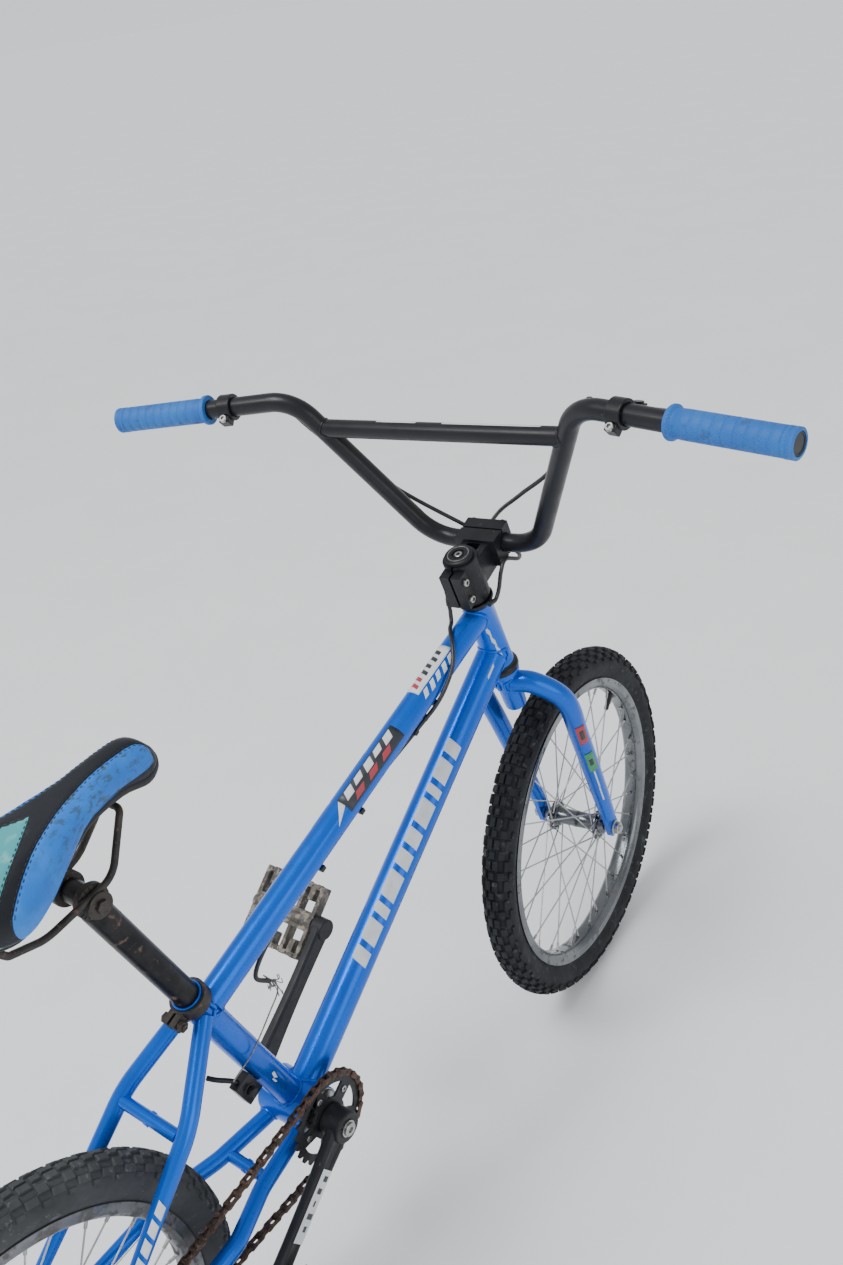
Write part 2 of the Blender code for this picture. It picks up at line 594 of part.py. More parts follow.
def make_levers():
    """The clamp bracket on each side and its brake lever, which pivots under the bar."""
    for side_name, side in SIDES.items():
        ahead = -side                        # local Y points backwards on the left
        drop = Matrix.Rotation(LEVER_DROP * ahead, 4, "X")
        at = empty("bracket_axis_" + side_name, grip_frame(side, BRACKET_OUT[side_name]) @ drop,
                   bar)
        bracket = rod("lever_bracket_" + side_name, (-0.009, 0, 0), (0.009, 0, 0), 0.0158)
        body = block("body", (-0.030, min(ahead * 0.012, ahead * 0.026), -0.007),
                     (0.009, max(ahead * 0.012, ahead * 0.026), 0.007))
        barrel = rod("barrel", (-0.042, ahead * 0.019, 0), (-0.022, ahead * 0.019, 0), 0.0058, 16)
        pivot_x, pivot_y = LEVER_PIVOT[0], LEVER_PIVOT[1] * ahead
        lug = rod("lug", (pivot_x, pivot_y, -0.0085), (pivot_x, pivot_y, 0.0085), 0.0068, sides=20)
        web = block("web", (pivot_x - 0.006, min(ahead * 0.020, pivot_y), -0.0085),
                    (pivot_x + 0.006, max(ahead * 0.020, pivot_y), 0.0085))
        bore = rod("cutter", (-0.03, 0, 0), (0.03, 0, 0), BAR_RADIUS + GAP)
        mouth_low = (pivot_x - 0.020, min(ahead * 0.0215, ahead * 0.060), -0.0042)
        mouth_high = (pivot_x + 0.030, max(ahead * 0.0215, ahead * 0.060), 0.0042)
        mouth = block("cutter", mouth_low, mouth_high)
        pin_hole = rod("cutter", (pivot_x, pivot_y, -0.02), (pivot_x, pivot_y, 0.02), 0.0027, 16)
        bracket = cut(join(bracket, body, barrel, lug, web), bore, mouth, pin_hole)
        finished(bracket, BLACK_PAINT, at)

        pivot = empty("lever_axis_" + side_name, Matrix.Translation((pivot_x, pivot_y, 0)), at)
        blade_path = [(0.002, 0, 0), (0.018, ahead * 0.006, 0), (0.045, ahead * 0.012, 0),
                      (0.078, ahead * 0.012, 0), (0.100, ahead * 0.017, 0)]
        lever = tube("brake_lever_" + side_name, smooth_path(blade_path, 2), 0.0037, sides=10)
        hub = rod("hub", (0, 0, -0.0037), (0, 0, 0.0037), 0.0062, sides=20)
        pin = rod("pin", (0, 0, -0.0100), (0, 0, 0.0100), 0.0022, sides=12)
        knob = rod("tip", (0.100, ahead * 0.017, -0.0045), (0.100, ahead * 0.017, 0.0045), 0.0062,
                   sides=16)
        finished(join(lever, hub, pin, knob), PLASTIC, pivot)


# ---------------------------------------------------------------- wheels
def tyre_profile():
    """The open section of a tyre as (radius, height), outer side first."""
    middle = WHEEL_RADIUS - TYRE_HALF_WIDTH
    inner = TYRE_HALF_WIDTH - TYRE_WALL
    outside = [(middle + y, x) for x, y in arc((0, 0), TYRE_HALF_WIDTH, 212, -32, 6)]
    inside = [(middle + y, x) for x, y in arc((0, 0), inner, 238, -58, 5)]
    outside.reverse()
    bead = [(RIM_LIP + 0.0004, -0.0126), (RIM_BED + GAP, -0.0124), (RIM_BED + GAP, -0.0090)]
    return outside + bead + inside + [(r, -h) for r, h in reversed(bead)]


def make_wheel(which, parent, flanges, end_half, boss=None):
    """Hub shell, laced spokes, rim and tyre, all turning about the parent's Y axis."""
    tyre = turned(which + "_tyre", tyre_profile(), axis="Y", steps=36)
    finished(tyre, TYRE_RUBBER, parent, sharp=50)
    half, lip, bed, inner = RIM_HALF_WIDTH, RIM_LIP, RIM_BED, RIM_INNER
    rim = [(lip, half), (lip, 0.0132), (bed, 0.0130), (bed, -0.0130), (lip, -0.0132),
           (lip, -half), (inner + 0.006, -half), (inner, -0.0085), (inner, 0.0085),
           (inner + 0.006, half)]
    finished(turned(which + "_rim", rim, axis="Y", steps=36), CHROME, parent)

    left, right = flanges
    shell, flange, thick = 0.0115, 0.0225, 0.0015
    profile = [(0.0085, end_half), (0.0125, left + 0.004), (flange, left + thick),
               (flange, left - thick), (shell, left - 0.004), (shell, right + 0.004),
               (flange, right + thick), (flange, right - thick)]
    if boss:
        profile += [(boss, right - thick - 0.001), (boss, -0.0425), (0.0085, -0.0427),
                    (0.0085, -end_half)]
    else:
        profile += [(0.0125, right - 0.004), (0.0085, -end_half)]
    profile += [(HUB_BORE, -end_half), (HUB_BORE, end_half)]
    finished(turned(which + "_hub", profile, axis="Y", steps=18), CHROME, parent)

    spokes = bmesh.new()
    for k in range(SPOKES):
        rim_angle = 2 * math.pi * k / SPOKES
        centre = left if k % 2 == 0 else right
        outside = 1 if (k // 2) % 2 == 0 else -1
        hub_angle = rim_angle - outside * SPOKE_CROSS_ANGLE
        away = math.copysign(1, centre)
        start_y = centre + away * (0.0040 if outside > 0 else -0.0032)
        start = Vector((0.0195 * math.cos(hub_angle), start_y, 0.0195 * math.sin(hub_angle)))
        end = Vector((0.1893 * math.cos(rim_angle), away * 0.002, 0.1893 * math.sin(rim_angle)))
        bmesh.ops.create_cone(spokes, cap_ends=True, segments=4, radius1=SPOKE_RADIUS,
                              radius2=SPOKE_RADIUS, depth=(end - start).length,
                              matrix=along(start, end))
    nipples = ring(which + "_spokes", RIM_INNER - 0.0012, 0.1885, -0.004, 0.004, "Y", steps=24)
    finished(join(nipples, from_bmesh("spoke_set", spokes)), BARE_STEEL, parent)


def make_axle(name, parent, half, cone, nut):
    """An axle with its cones and nuts; cone and nut are their (inner, outer) distances."""
    upper = [(0.0, half), (AXLE_RADIUS, half), (AXLE_RADIUS, nut[1]), (0.0085, nut[1]),
             (0.0085, nut[0]), (AXLE_RADIUS, nut[0]), (AXLE_RADIUS, cone[1]), (0.0080, cone[1]),
             (0.0080, cone[0]), (AXLE_RADIUS, cone[0])]
    lower = [(r, -h) for r, h in reversed(upper)]
    finished(turned(name, upper + lower, axis="Y", steps=12, closed=False), BARE_STEEL, parent)


# ---------------------------------------------------------------- drive
def gear_outline(teeth, tip):
    """A sprocket's outer edge as (x, y), three points to a tooth."""
    points = []
    for k in range(teeth):
        for share, radius in ((-0.16, tip), (0.16, tip), (0.50, tip - 0.0040)):
            angle = 2 * math.pi * (k + share) / teeth
            points.append((radius * math.cos(angle), radius * math.sin(angle)))
    return points


def pitch_radius(teeth):
    return PITCH / (2 * math.sin(math.pi / teeth))


def belt_outline(big, small, distance):
    """The outline round two circles, as (x, y): the big one at the origin, the small one at -x."""
    lean = math.degrees(math.acos((big - small) / distance))
    start = 180 - lean
    return (arc((0, 0), big, start, -start, 28)
            + arc((-distance, 0), small, -start, -(360 - start), 14))


def make_drive():
    flat = Matrix.Rotation(math.radians(90), 4, "X")
    in_plane = Matrix.Translation((0, -CHAINLINE, 0)) @ flat
    ring_pitch, cog_pitch = pitch_radius(RING_TEETH), pitch_radius(COG_TEETH)
    tip_over_pitch = 0.0016

    windows = []
    for k in range(5):
        middle = 72 * k + 36
        windows.append(arc((0, 0), 0.0405, middle - 24, middle + 24, 4)
                       + arc((0, 0), 0.0235, middle + 16, middle - 16, 2))
    centre = arc((0, 0), SPINDLE_RADIUS + 0.0005, 0, 337.5, 15)
    chainring = plate("chainring", [gear_outline(RING_TEETH, ring_pitch + tip_over_pitch), centre,
                                    *windows], 0.003, in_plane)
    finished(chainring, BLACK_PAINT, crank, sharp=25)

    cog = plate("freewheel", [gear_outline(COG_TEETH, cog_pitch + tip_over_pitch),
                              arc((0, 0), BOSS_RADIUS + 0.0005, 0, 340, 17)], 0.003, in_plane)
    body = ring("body", DRIVER_RADIUS, BOSS_RADIUS + 0.0005, -0.0485, -0.0335, "Y", steps=18)
    finished(join(cog, body), BARE_STEEL, rear_wheel, sharp=25)

    axle_at = Vector((-HALF_WHEELBASE, 0, WHEEL_RADIUS))
    crank_at = Vector((BB_X, 0, BB_HEIGHT))
    distance = (crank_at - axle_at).length
    slope = math.atan2(crank_at.z - axle_at.z, crank_at.x - axle_at.x)
    plane = (Matrix.Translation((BB_X, -CHAINLINE, BB_HEIGHT)) @ Matrix.Rotation(-slope, 4, "Y")
             @ flat)
    inner, outer = tip_over_pitch + 0.0006, 0.0042
    chain = plate("chain", [belt_outline(ring_pitch + outer, cog_pitch + outer, distance),
                            belt_outline(ring_pitch + inner, cog_pitch + inner, distance)],
                  CHAIN_WIDTH, plane)
    finished(chain, RUSTY, root, sharp=25)

    spindle_end = 0.0790
    spindle = turned("crank_spindle", [
        (0.0, spindle_end), (0.0078, spindle_end), (0.0078, spindle_end - 0.003),
        (SPINDLE_RADIUS, spindle_end - 0.003), (SPINDLE_RADIUS, -spindle_end + 0.003),
        (0.0078, -spindle_end + 0.003), (0.0078, -spindle_end), (0.0, -spindle_end)],
        axis="Y", steps=24, closed=False)
    finished(spindle, BARE_STEEL, crank)
    for side_name, side in SIDES.items():
        make_crank_arm(side_name, side)
        make_pedal(side_name, side)


def make_crank_arm(side_name, side):
    """A forged arm that flares outwards from the spindle to the pedal, with the pedal's own axle."""
    lean = math.degrees(math.acos((0.0165 - 0.0125) / CRANK_LENGTH))
    outline = (arc((0, 0), 0.0165, lean, 360 - lean, 10)
               + arc((CRANK_LENGTH, 0), 0.0125, -lean, lean, 8))
    flat = Matrix.Rotation(math.radians(90), 4, "X")
    reach = side * CRANK_LENGTH
    arm = plate("crank_arm_" + side_name, [outline], 0.013, flat)
    if side < 0:
        arm.data.transform(Matrix.Rotation(math.pi, 4, "Y"))
    flare = Matrix.Identity(4)
    flare[1][0] = 0.011 / CRANK_LENGTH
    arm.data.transform(Matrix.Translation((0, side * 0.0640, 0)) @ flare)
    foot = 0.0530 if side > 0 else CHAINLINE + 0.0018
    boss = rod("boss", (0, side * foot, 0), (0, side * 0.0745, 0), 0.0180)
    eye = rod("eye", (reach, side * 0.0665, 0), (reach, side * 0.0830, 0), 0.0130)
    axle = rod("axle", (reach, side * 0.0800, 0), (reach, side * (PEDAL_OUTER - 0.004), 0), 0.0048,
               sides=16)
    bore = rod("cutter", (0, side * 0.04, 0), (0, side * 0.09, 0), SPINDLE_RADIUS + GAP)
    finished(cut(join(arm, boss, eye, axle), bore), BLACK_PAINT, crank, sharp=25)


def make_pedal(side_name, side):
    """A platform cage round a barrel, at its own tilt from level."""
    level = Matrix.Translation((side * CRANK_LENGTH, 0, 0)) @ Matrix.Rotation(
        PEDAL_TILT[side_name] - CRANK_ANGLE, 4, "Y")
    at = empty("pedal_axis_" + side_name, level, crank)

    def across(a, b, c, d):
        """A rectangle from x = a to b and from c to d outwards."""
        low, high = sorted((side * c, side * d))
        return [(a, low), (b, low), (b, high), (a, high)]

    inner, outer = PEDAL_INNER, PEDAL_OUTER
    windows = []
    for start, end in ((inner + 0.006, 0.1130), (0.1180, 0.1505), (0.1555, outer - 0.006)):
        windows.append(across(-PEDAL_HALF + 0.0070, -0.0085, start, end))
        windows.append(across(0.0085, PEDAL_HALF - 0.0070, start, end))
    pedal = plate("pedal_" + side_name,
                  [across(-PEDAL_HALF, PEDAL_HALF, inner, outer), *windows], 0.0146,
                  Matrix.Identity(4))
    barrel = rod("barrel", (0, side * (inner + 0.0004), 0), (0, side * (outer - 0.0004), 0), 0.0098,
                 sides=16)
    bore = rod("cutter", (0, side * (inner - 0.01), 0), (0, side * (outer - 0.003), 0), 0.0054,
               sides=16)
    finished(cut(join(pedal, barrel), bore), BLACK_PAINT, at, sharp=25)


# ---------------------------------------------------------------- saddle
def superellipse(half_width, low, high, power=2.6, count=16):
    """A rounded section as (y, z) points."""
    middle, half = (low + high) / 2, (high - low) / 2
    points = []
    for k in range(count):
        angle = 2 * math.pi * k / count
        c, s = math.cos(angle), math.sin(angle)
        points.append((half_width * math.copysign(abs(c) ** (2 / power), c),
                       middle + half * math.copysign(abs(s) ** (2 / power), s)))
    return points


def loft(name, sections):
    """A closed skin over rings of (y, z) points, each at its own x, ordered backwards."""
    bm = bmesh.new()
    rings = [[bm.verts.new((x, y, z)) for y, z in points] for x, points in sections]
    count = len(rings[0])
    for ring_a, ring_b in zip(rings, rings[1:]):
        for k in range(count):
            n = (k + 1) % count
            bm.faces.new((ring_a[k], ring_a[n], ring_b[n], ring_b[k]))
    bm.faces.new(list(reversed(rings[0])))
    bm.faces.new(rings[-1])
    bmesh.ops.recalc_face_normals(bm, faces=bm.faces)
    return from_bmesh(name, bm)


def make_saddle():
    low, pivot = SEAT_POST_BOTTOM, SADDLE_PIVOT
    post = turned("seat_post", [(0.0, pivot - 0.002), (0.0108, pivot - 0.002),
                                (0.0108, pivot - 0.020), (SEAT_POST_RADIUS, pivot - 0.023),
                                (SEAT_POST_RADIUS, low), (0.0, low)], closed=False)
    barrel = rod("barrel", (0, -0.012, pivot), (0, 0.012, pivot), 0.0110)
    bolt_room = rod("cutter", (0, -0.03, pivot), (0, 0.03, pivot), 0.0044, sides=16)
    finished(cut(join(post, barrel), bolt_room), RUSTY, seat)

    clamp = rod("saddle_clamp", (0, -0.0320, 0), (0, 0.0320, 0), 0.0040, sides=16)
    for y in (-0.0210, 0.0125):
        clamp = join(clamp, rod("cheek", (0, y, 0), (0, y + 0.0085, 0), 0.0165, sides=16))
    for y in (-0.0310, 0.0286):
        clamp = join(clamp, rod("washer", (0, y, 0), (0, y + 0.0024, 0), 0.0125, sides=12))
    finished(clamp, RUSTY, saddle)

    half_rail = [(-0.092, 0.0400, 0.0255), (-0.052, 0.0248, 0.0030), (0.022, 0.0248, 0.0125),
                 (0.056, 0.0120, 0.0575)]
    corners = [mirrored(1, p) for p in half_rail] + [mirrored(-1, p) for p in reversed(half_rail)]
    path = rounded_path(corners, [0.030, 0.030, 0.0065, 0.0065, 0.030, 0.030], steps=3)
    finished(tube("saddle_rails", path, 0.0034, sides=8), RUSTY, saddle)

    cover = [(x, superellipse(half, low + SHELL_DEPTH, high))
             for x, half, low, high in SADDLE_STATIONS]
    finished(loft("saddle_cover", cover), COVER, saddle, sharp=80)
    shell = [(x, superellipse(half * 0.84, low + 0.0012, low + SHELL_DEPTH - 0.0006, 5.0))
             for x, half, low, high in SADDLE_STATIONS[1:-1]]
    finished(loft("saddle_shell", shell), PLASTIC, saddle, sharp=80)


# ---------------------------------------------------------------- cables
def make_cables():
    """The housings along the bar and down the frame, with the loose wire at the rear end."""
    bar_in_steering = Matrix.Translation((BAR_REACH, 0, BAR_HEIGHT)) @ Matrix.Rotation(
        BAR_ROLL, 4, "Y")
    for side_name, side in SIDES.items():
        bracket = bar_in_steering @ grip_frame(side, BRACKET_OUT[side_name]) @ Matrix.Rotation(
            -LEVER_DROP * side, 4, "X")
        route = [bracket @ Vector((x, -side * 0.019, 0)) for x in (-0.0445, -0.0560)]
        route += CABLE_ROUTES[side_name]
        cable = tube("brake_cable_" + side_name, smooth_path(route, 3), CABLE_RADIUS, sides=6)
        finished(cable, PLASTIC, steering)
    route = [head_point(h, x, y) for x, y, h in CABLE_FROM_HEAD] + CABLE_ON_FRAME
    path = smooth_path(route, 3)
    wire_from = 3 * (len(route) - WIRE_POINTS)
    radii = [1.0 if k < wire_from else 0.3 for k in range(len(path))]
    cable = tube("rear_brake_cable", path, CABLE_RADIUS, sides=6, radii=radii)
    finished(cable, PLASTIC, root)


make_main_tubes()
make_stays()
make_frame_fittings()
make_fork()
make_stem()
make_bar()
make_levers()
make_wheel("front", front_wheel, (0.034, -0.034), 0.0440)
make_wheel("rear", rear_wheel, (0.030, -0.026), 0.0455, boss=BOSS_RADIUS)
make_axle("front_axle", front_wheel, 0.0690, (0.0443, 0.0498), (0.0575, 0.0660))
make_axle("rear_axle", rear_wheel, 0.0740, (0.0459, 0.0550), (0.0607, 0.0700))
make_drive()
make_saddle()
make_cables()
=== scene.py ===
"""Looks of the BMX bicycle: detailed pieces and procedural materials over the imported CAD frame."""
import math

import bmesh
import bpy
from mathutils import Matrix, Vector
from mathutils.bvhtree import BVHTree


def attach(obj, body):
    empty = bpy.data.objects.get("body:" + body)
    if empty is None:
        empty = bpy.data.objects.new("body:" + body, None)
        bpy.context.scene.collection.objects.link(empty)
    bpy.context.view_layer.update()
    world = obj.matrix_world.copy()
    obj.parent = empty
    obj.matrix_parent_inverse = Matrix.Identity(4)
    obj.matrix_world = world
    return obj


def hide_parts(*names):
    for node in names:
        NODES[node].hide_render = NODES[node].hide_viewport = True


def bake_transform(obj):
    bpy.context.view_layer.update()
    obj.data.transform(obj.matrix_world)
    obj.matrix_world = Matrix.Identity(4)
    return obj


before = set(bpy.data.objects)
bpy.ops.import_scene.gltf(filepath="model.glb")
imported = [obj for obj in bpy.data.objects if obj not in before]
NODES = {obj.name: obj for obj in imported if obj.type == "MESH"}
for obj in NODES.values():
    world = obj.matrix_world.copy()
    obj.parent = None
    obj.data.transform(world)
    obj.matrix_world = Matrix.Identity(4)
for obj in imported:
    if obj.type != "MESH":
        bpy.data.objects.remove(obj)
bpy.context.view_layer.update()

# ------------------------------------------------------------------ dimensions, as in the CAD
HALF_WHEELBASE = 0.4916
WHEEL_RADIUS = 0.252
TYRE_HALF = 0.0242
HEAD_ANGLE = math.radians(73.6)
FORK_OFFSET = 0.0337
STEER = math.radians(5.94)
BB_X, BB_HEIGHT = -0.109, 0.286
SEAT_ANGLE = math.radians(69.5)
SADDLE_PIVOT = 0.449
BAR_REACH, BAR_HEIGHT = 0.0564, 0.5167
BAR_ROLL = math.radians(-5.2)
BAR_RADIUS = 0.0111
BAR_BASE, BAR_SHOULDER, BAR_HALF = 0.0705, 0.1778, 0.4122
BAR_RISE, CROSSBAR_RISE = 0.2126, 0.1708
BACKSWEEP, UPSWEEP = math.radians(11.9), math.radians(1.4)
LEVER_DROP = math.radians(-34)
BRACKET_OUT = {"left": 0.262, "right": 0.231}
CHAINLINE = 0.0465
RING_TEETH, COG_TEETH = 25, 9
CRANK_ANGLE = math.radians(-32)
CRANK_LENGTH = 0.178
PEDAL_HALF = 0.045
PEDAL_TILT = {"left": math.radians(-39), "right": 0.0}
TUBE_RADIUS, DOWN_RADIUS, HEAD_RADIUS = 0.0159, 0.0190, 0.0180
SHELL_RADIUS, STAY_RADIUS, LEG_RADIUS = 0.0280, 0.0093, 0.0143
CROSSBAR_RADIUS, CABLE_RADIUS, GRIP_LENGTH = 0.0105, 0.0025, 0.128
CHAIN_PITCH, CHAIN_LINKS, LINK_END, LINK_WAIST = 0.0127, 78, 0.0040, 0.0029
SPOKE_COUNT, HUB_HOLES, RIM_HOLES, TREAD_PITCHES = 36, 0.0195, 0.1893, 56
SIDES = {"left": 1, "right": -1}


def move(x, y, z):
    return Matrix.Translation((x, y, z))


def spin(angle, axis):
    return Matrix.Rotation(angle, 4, axis)


LEAN = spin(HEAD_ANGLE - math.pi / 2, "Y")
FOOT = Vector((HALF_WHEELBASE, 0, WHEEL_RADIUS)) - LEAN @ Vector((FORK_OFFSET, 0, 0))
HEAD = Matrix.Translation(FOOT) @ LEAN
STEERING = HEAD @ spin(STEER, "Z")
FRONT = STEERING @ move(FORK_OFFSET, 0, 0)
REAR = move(-HALF_WHEELBASE, 0, WHEEL_RADIUS)
BB = move(BB_X, 0, BB_HEIGHT)
SEAT_LEAN = spin(SEAT_ANGLE - math.pi / 2, "Y")
SEAT = BB @ SEAT_LEAN
SADDLE = SEAT @ move(0, 0, SADDLE_PIVOT) @ SEAT_LEAN.inverted()
BAR = STEERING @ move(BAR_REACH, 0, BAR_HEIGHT) @ spin(BAR_ROLL, "Y")
CRANK = BB @ spin(CRANK_ANGLE, "Y")
WORLD = Matrix.Identity(4)
FLAT = spin(math.radians(90), "X")       # XY outlines stand up in the XZ plane
AXLE = spin(math.radians(-90), "X")      # turned profiles lie along Y


# ------------------------------------------------------------------ materials
class Recipe:
    """A Principled material with short ways to add noise, mixes and bump."""

    def __init__(self, name, rough=0.5, metallic=0.0, coat=0.0):
        self.material = bpy.data.materials.new(name)
        self.material.use_nodes = True
        self.tree = self.material.node_tree
        self.shader = self.tree.nodes["Principled BSDF"]
        self.shader.inputs["Roughness"].default_value = rough
        self.shader.inputs["Metallic"].default_value = metallic
        self.shader.inputs["Coat Weight"].default_value = coat
        self.shader.inputs["Coat Roughness"].default_value = 0.08
        self.place = self.tree.nodes.new("ShaderNodeTexCoord").outputs["Object"]

    def link(self, out, into):
        self.tree.links.new(out, into)

    def noise(self, scale, detail=5.0, rough=0.6, stretch=None):
        node = self.tree.nodes.new("ShaderNodeTexNoise")
        node.inputs["Scale"].default_value = scale
        node.inputs["Detail"].default_value = detail
        node.inputs["Roughness"].default_value = rough
        place = self.place
        if stretch:
            mapping = self.tree.nodes.new("ShaderNodeMapping")
            mapping.inputs["Scale"].default_value = stretch
            self.link(place, mapping.inputs["Vector"])
            place = mapping.outputs["Vector"]
        self.link(place, node.inputs["Vector"])
        return node.outputs["Fac"]

    def ramp(self, value, low, high, out_low=0.0, out_high=1.0):
        node = self.tree.nodes.new("ShaderNodeMapRange")
        node.interpolation_type = "SMOOTHSTEP"
        for name, number in (("From Min", low), ("From Max", high), ("To Min", out_low),
                             ("To Max", out_high)):
            node.inputs[name].default_value = number
        self.link(value, node.inputs["Value"])
        return node.outputs["Result"]

    def math(self, operation, a, b=0.0):
        node = self.tree.nodes.new("ShaderNodeMath")
        node.operation = operation
        for value, socket in ((a, node.inputs[0]), (b, node.inputs[1])):
            if isinstance(value, (int, float)):
                socket.default_value = value
            else:
                self.link(value, socket)
        return node.outputs[0]

    def mix(self, factor, a, b):
        node = self.tree.nodes.new("ShaderNodeMix")
        node.data_type = "RGBA"
        self.link(factor, node.inputs[0])
        for value, socket in ((a, node.inputs[6]), (b, node.inputs[7])):
            if isinstance(value, tuple):
                socket.default_value = (*value, 1.0)
            else:
                self.link(value, socket)
        return node.outputs[2]

    def axes(self):
        node = self.tree.nodes.new("ShaderNodeSeparateXYZ")
        self.link(self.place, node.inputs[0])
        return node.outputs

    def bump(self, height, strength=0.4, distance=0.0005):
        node = self.tree.nodes.new("ShaderNodeBump")
        node.inputs["Strength"].default_value = strength
        node.inputs["Distance"].default_value = distance
        self.link(height, node.inputs["Height"])
        if self.shader.inputs["Normal"].links:
            self.link(self.shader.inputs["Normal"].links[0].from_socket, node.inputs["Normal"])
        self.link(node.outputs["Normal"], self.shader.inputs["Normal"])

    def colour(self, value):
        self.link(value, self.shader.inputs["Base Color"])

    def rough(self, value):
        self.link(value, self.shader.inputs["Roughness"])

    def metal(self, value):
        self.link(value, self.shader.inputs["Metallic"])


def worn(name, base, shade, patch, scale=8, patch_scale=60, amount=0.62, rough=0.4,
         patch_rough=0.6, metallic=0.0, patch_metallic=0.0, coat=0.0, grain=0.3, grain_scale=900,
         stretch=None, specular=0.5):
    """Two shades of one finish, broken by patches of wear, dirt or rust, with a fine grain."""
    made = Recipe(name, coat=coat)
    made.shader.inputs["Specular IOR Level"].default_value = specular
    body = made.mix(made.ramp(made.noise(scale), 0.35, 0.65), base, shade)
    wear = made.ramp(made.noise(patch_scale, 9, 0.68, stretch), amount, amount + 0.09)
    made.colour(made.mix(wear, body, patch))
    spread = made.noise(scale * 5)
    made.rough(made.math("ADD", made.ramp(wear, 0, 1, rough, patch_rough),
                         made.ramp(spread, 0.3, 0.7, -0.05, 0.07)))
    made.metal(made.ramp(wear, 0, 1, metallic, patch_metallic))
    made.bump(made.noise(grain_scale, 3), grain, 0.00012)
    made.bump(wear, 0.25, 0.0001)
    return made.material


PAINT = worn("blue_paint", (0.0008, 0.118, 0.640), (0.0008, 0.098, 0.550),
             (0.030, 0.055, 0.110), scale=5, patch_scale=75, amount=0.745, rough=0.26,
             patch_rough=0.55, metallic=0.55, coat=0.22, grain=0.05, specular=0.18)
BLACK = worn("black_paint", (0.006, 0.007, 0.009), (0.010, 0.011, 0.014), (0.10, 0.11, 0.12),
             scale=10, patch_scale=110, amount=0.67, rough=0.36, patch_rough=0.5,
             patch_metallic=0.4, coat=0.1, grain=0.15, specular=0.28)
STEM_BLACK = worn("stem_black", (0.006, 0.007, 0.009), (0.011, 0.012, 0.015),
                  (0.22, 0.23, 0.24), scale=30, patch_scale=170, amount=0.64, rough=0.42,
                  patch_rough=0.38, patch_metallic=0.8, grain=0.4, grain_scale=500, specular=0.28)
CRANK_BLACK = worn("crank_black", (0.009, 0.010, 0.012), (0.018, 0.019, 0.022),
                   (0.13, 0.12, 0.11), scale=20, patch_scale=90, amount=0.64, rough=0.45,
                   patch_rough=0.6, patch_metallic=0.5, grain=0.4, specular=0.28)
PEDAL = worn("pedal_grey", (0.130, 0.115, 0.095), (0.060, 0.056, 0.050), (0.26, 0.23, 0.19),
             scale=28, patch_scale=120, amount=0.50, rough=0.55, patch_rough=0.8,
             metallic=0.35, patch_metallic=0.1, grain=0.6)
STEEL = worn("bare_steel", (0.46, 0.46, 0.45), (0.36, 0.36, 0.35), (0.20, 0.17, 0.14), scale=25,
             patch_scale=130, amount=0.60, rough=0.30, patch_rough=0.6, metallic=1.0,
             patch_metallic=0.3, grain=0.3)
SPOKE = worn("spoke_steel", (0.52, 0.53, 0.53), (0.40, 0.41, 0.42), (0.24, 0.22, 0.20), scale=18,
             patch_scale=60, amount=0.60, rough=0.32, patch_rough=0.6, metallic=0.9,
             patch_metallic=0.3, grain=0.2)
CHROME = worn("dusty_chrome", (0.20, 0.21, 0.22), (0.13, 0.14, 0.15), (0.10, 0.10, 0.098),
              scale=14, patch_scale=70, amount=0.54, rough=0.20, patch_rough=0.62, metallic=1.0,
              patch_metallic=0.25, grain=0.15)
RIM_DULL = worn("dull_rim", (0.20, 0.21, 0.22), (0.12, 0.125, 0.13), (0.09, 0.088, 0.085),
                scale=14, patch_scale=50, amount=0.50, rough=0.34, patch_rough=0.75,
                metallic=0.85, patch_metallic=0.1, grain=0.2)
RUST = worn("rusty_steel", (0.030, 0.029, 0.029), (0.056, 0.049, 0.044), (0.13, 0.078, 0.052),
            scale=45, patch_scale=160, amount=0.56, rough=0.55, patch_rough=0.85, metallic=0.6,
            patch_metallic=0.05, grain=0.8)
CHAIN = worn("chain_steel", (0.085, 0.053, 0.040), (0.050, 0.037, 0.031), (0.17, 0.092, 0.060),
             scale=60, patch_scale=240, amount=0.52, rough=0.5, patch_rough=0.8, metallic=0.7,
             patch_metallic=0.2, grain=0.6)
TYRE = worn("front_tyre_rubber", (0.009, 0.010, 0.012), (0.018, 0.020, 0.023),
            (0.055, 0.060, 0.064), scale=22, patch_scale=85, amount=0.56, rough=0.72,
            patch_rough=0.92, grain=0.6, grain_scale=500, specular=0.28)
TYRE_DUSTY = worn("rear_tyre_rubber", (0.030, 0.033, 0.036), (0.048, 0.052, 0.055),
                  (0.12, 0.125, 0.125), scale=18, patch_scale=80, amount=0.58, rough=0.80,
                  patch_rough=0.95, grain=0.6, grain_scale=500)
PLASTIC = worn("black_plastic", (0.014, 0.015, 0.017), (0.022, 0.023, 0.026),
               (0.09, 0.09, 0.09), scale=40, patch_scale=200, amount=0.66, rough=0.45,
               patch_rough=0.7, grain=0.4, specular=0.28)
CABLE = worn("cable_housing", (0.010, 0.011, 0.013), (0.018, 0.019, 0.022), (0.06, 0.06, 0.06),
             scale=60, patch_scale=160, amount=0.62, rough=0.38, patch_rough=0.6, grain=0.1)
WIRE = worn("bare_wire", (0.26, 0.26, 0.25), (0.15, 0.14, 0.13), (0.13, 0.08, 0.05), scale=200,
            patch_scale=260, amount=0.56, rough=0.45, patch_rough=0.8, metallic=0.8,
            patch_metallic=0.2, grain=0.5)
# white print on the stickers, and also the painted highlight streaks on the head tube and down tube
WHITE = worn("white_decal_and_painted_highlight", (0.66, 0.69, 0.70), (0.58, 0.62, 0.64), (0.10, 0.20, 0.42),
             scale=60, patch_scale=130, amount=0.63, rough=0.42, patch_rough=0.5, grain=0.2)
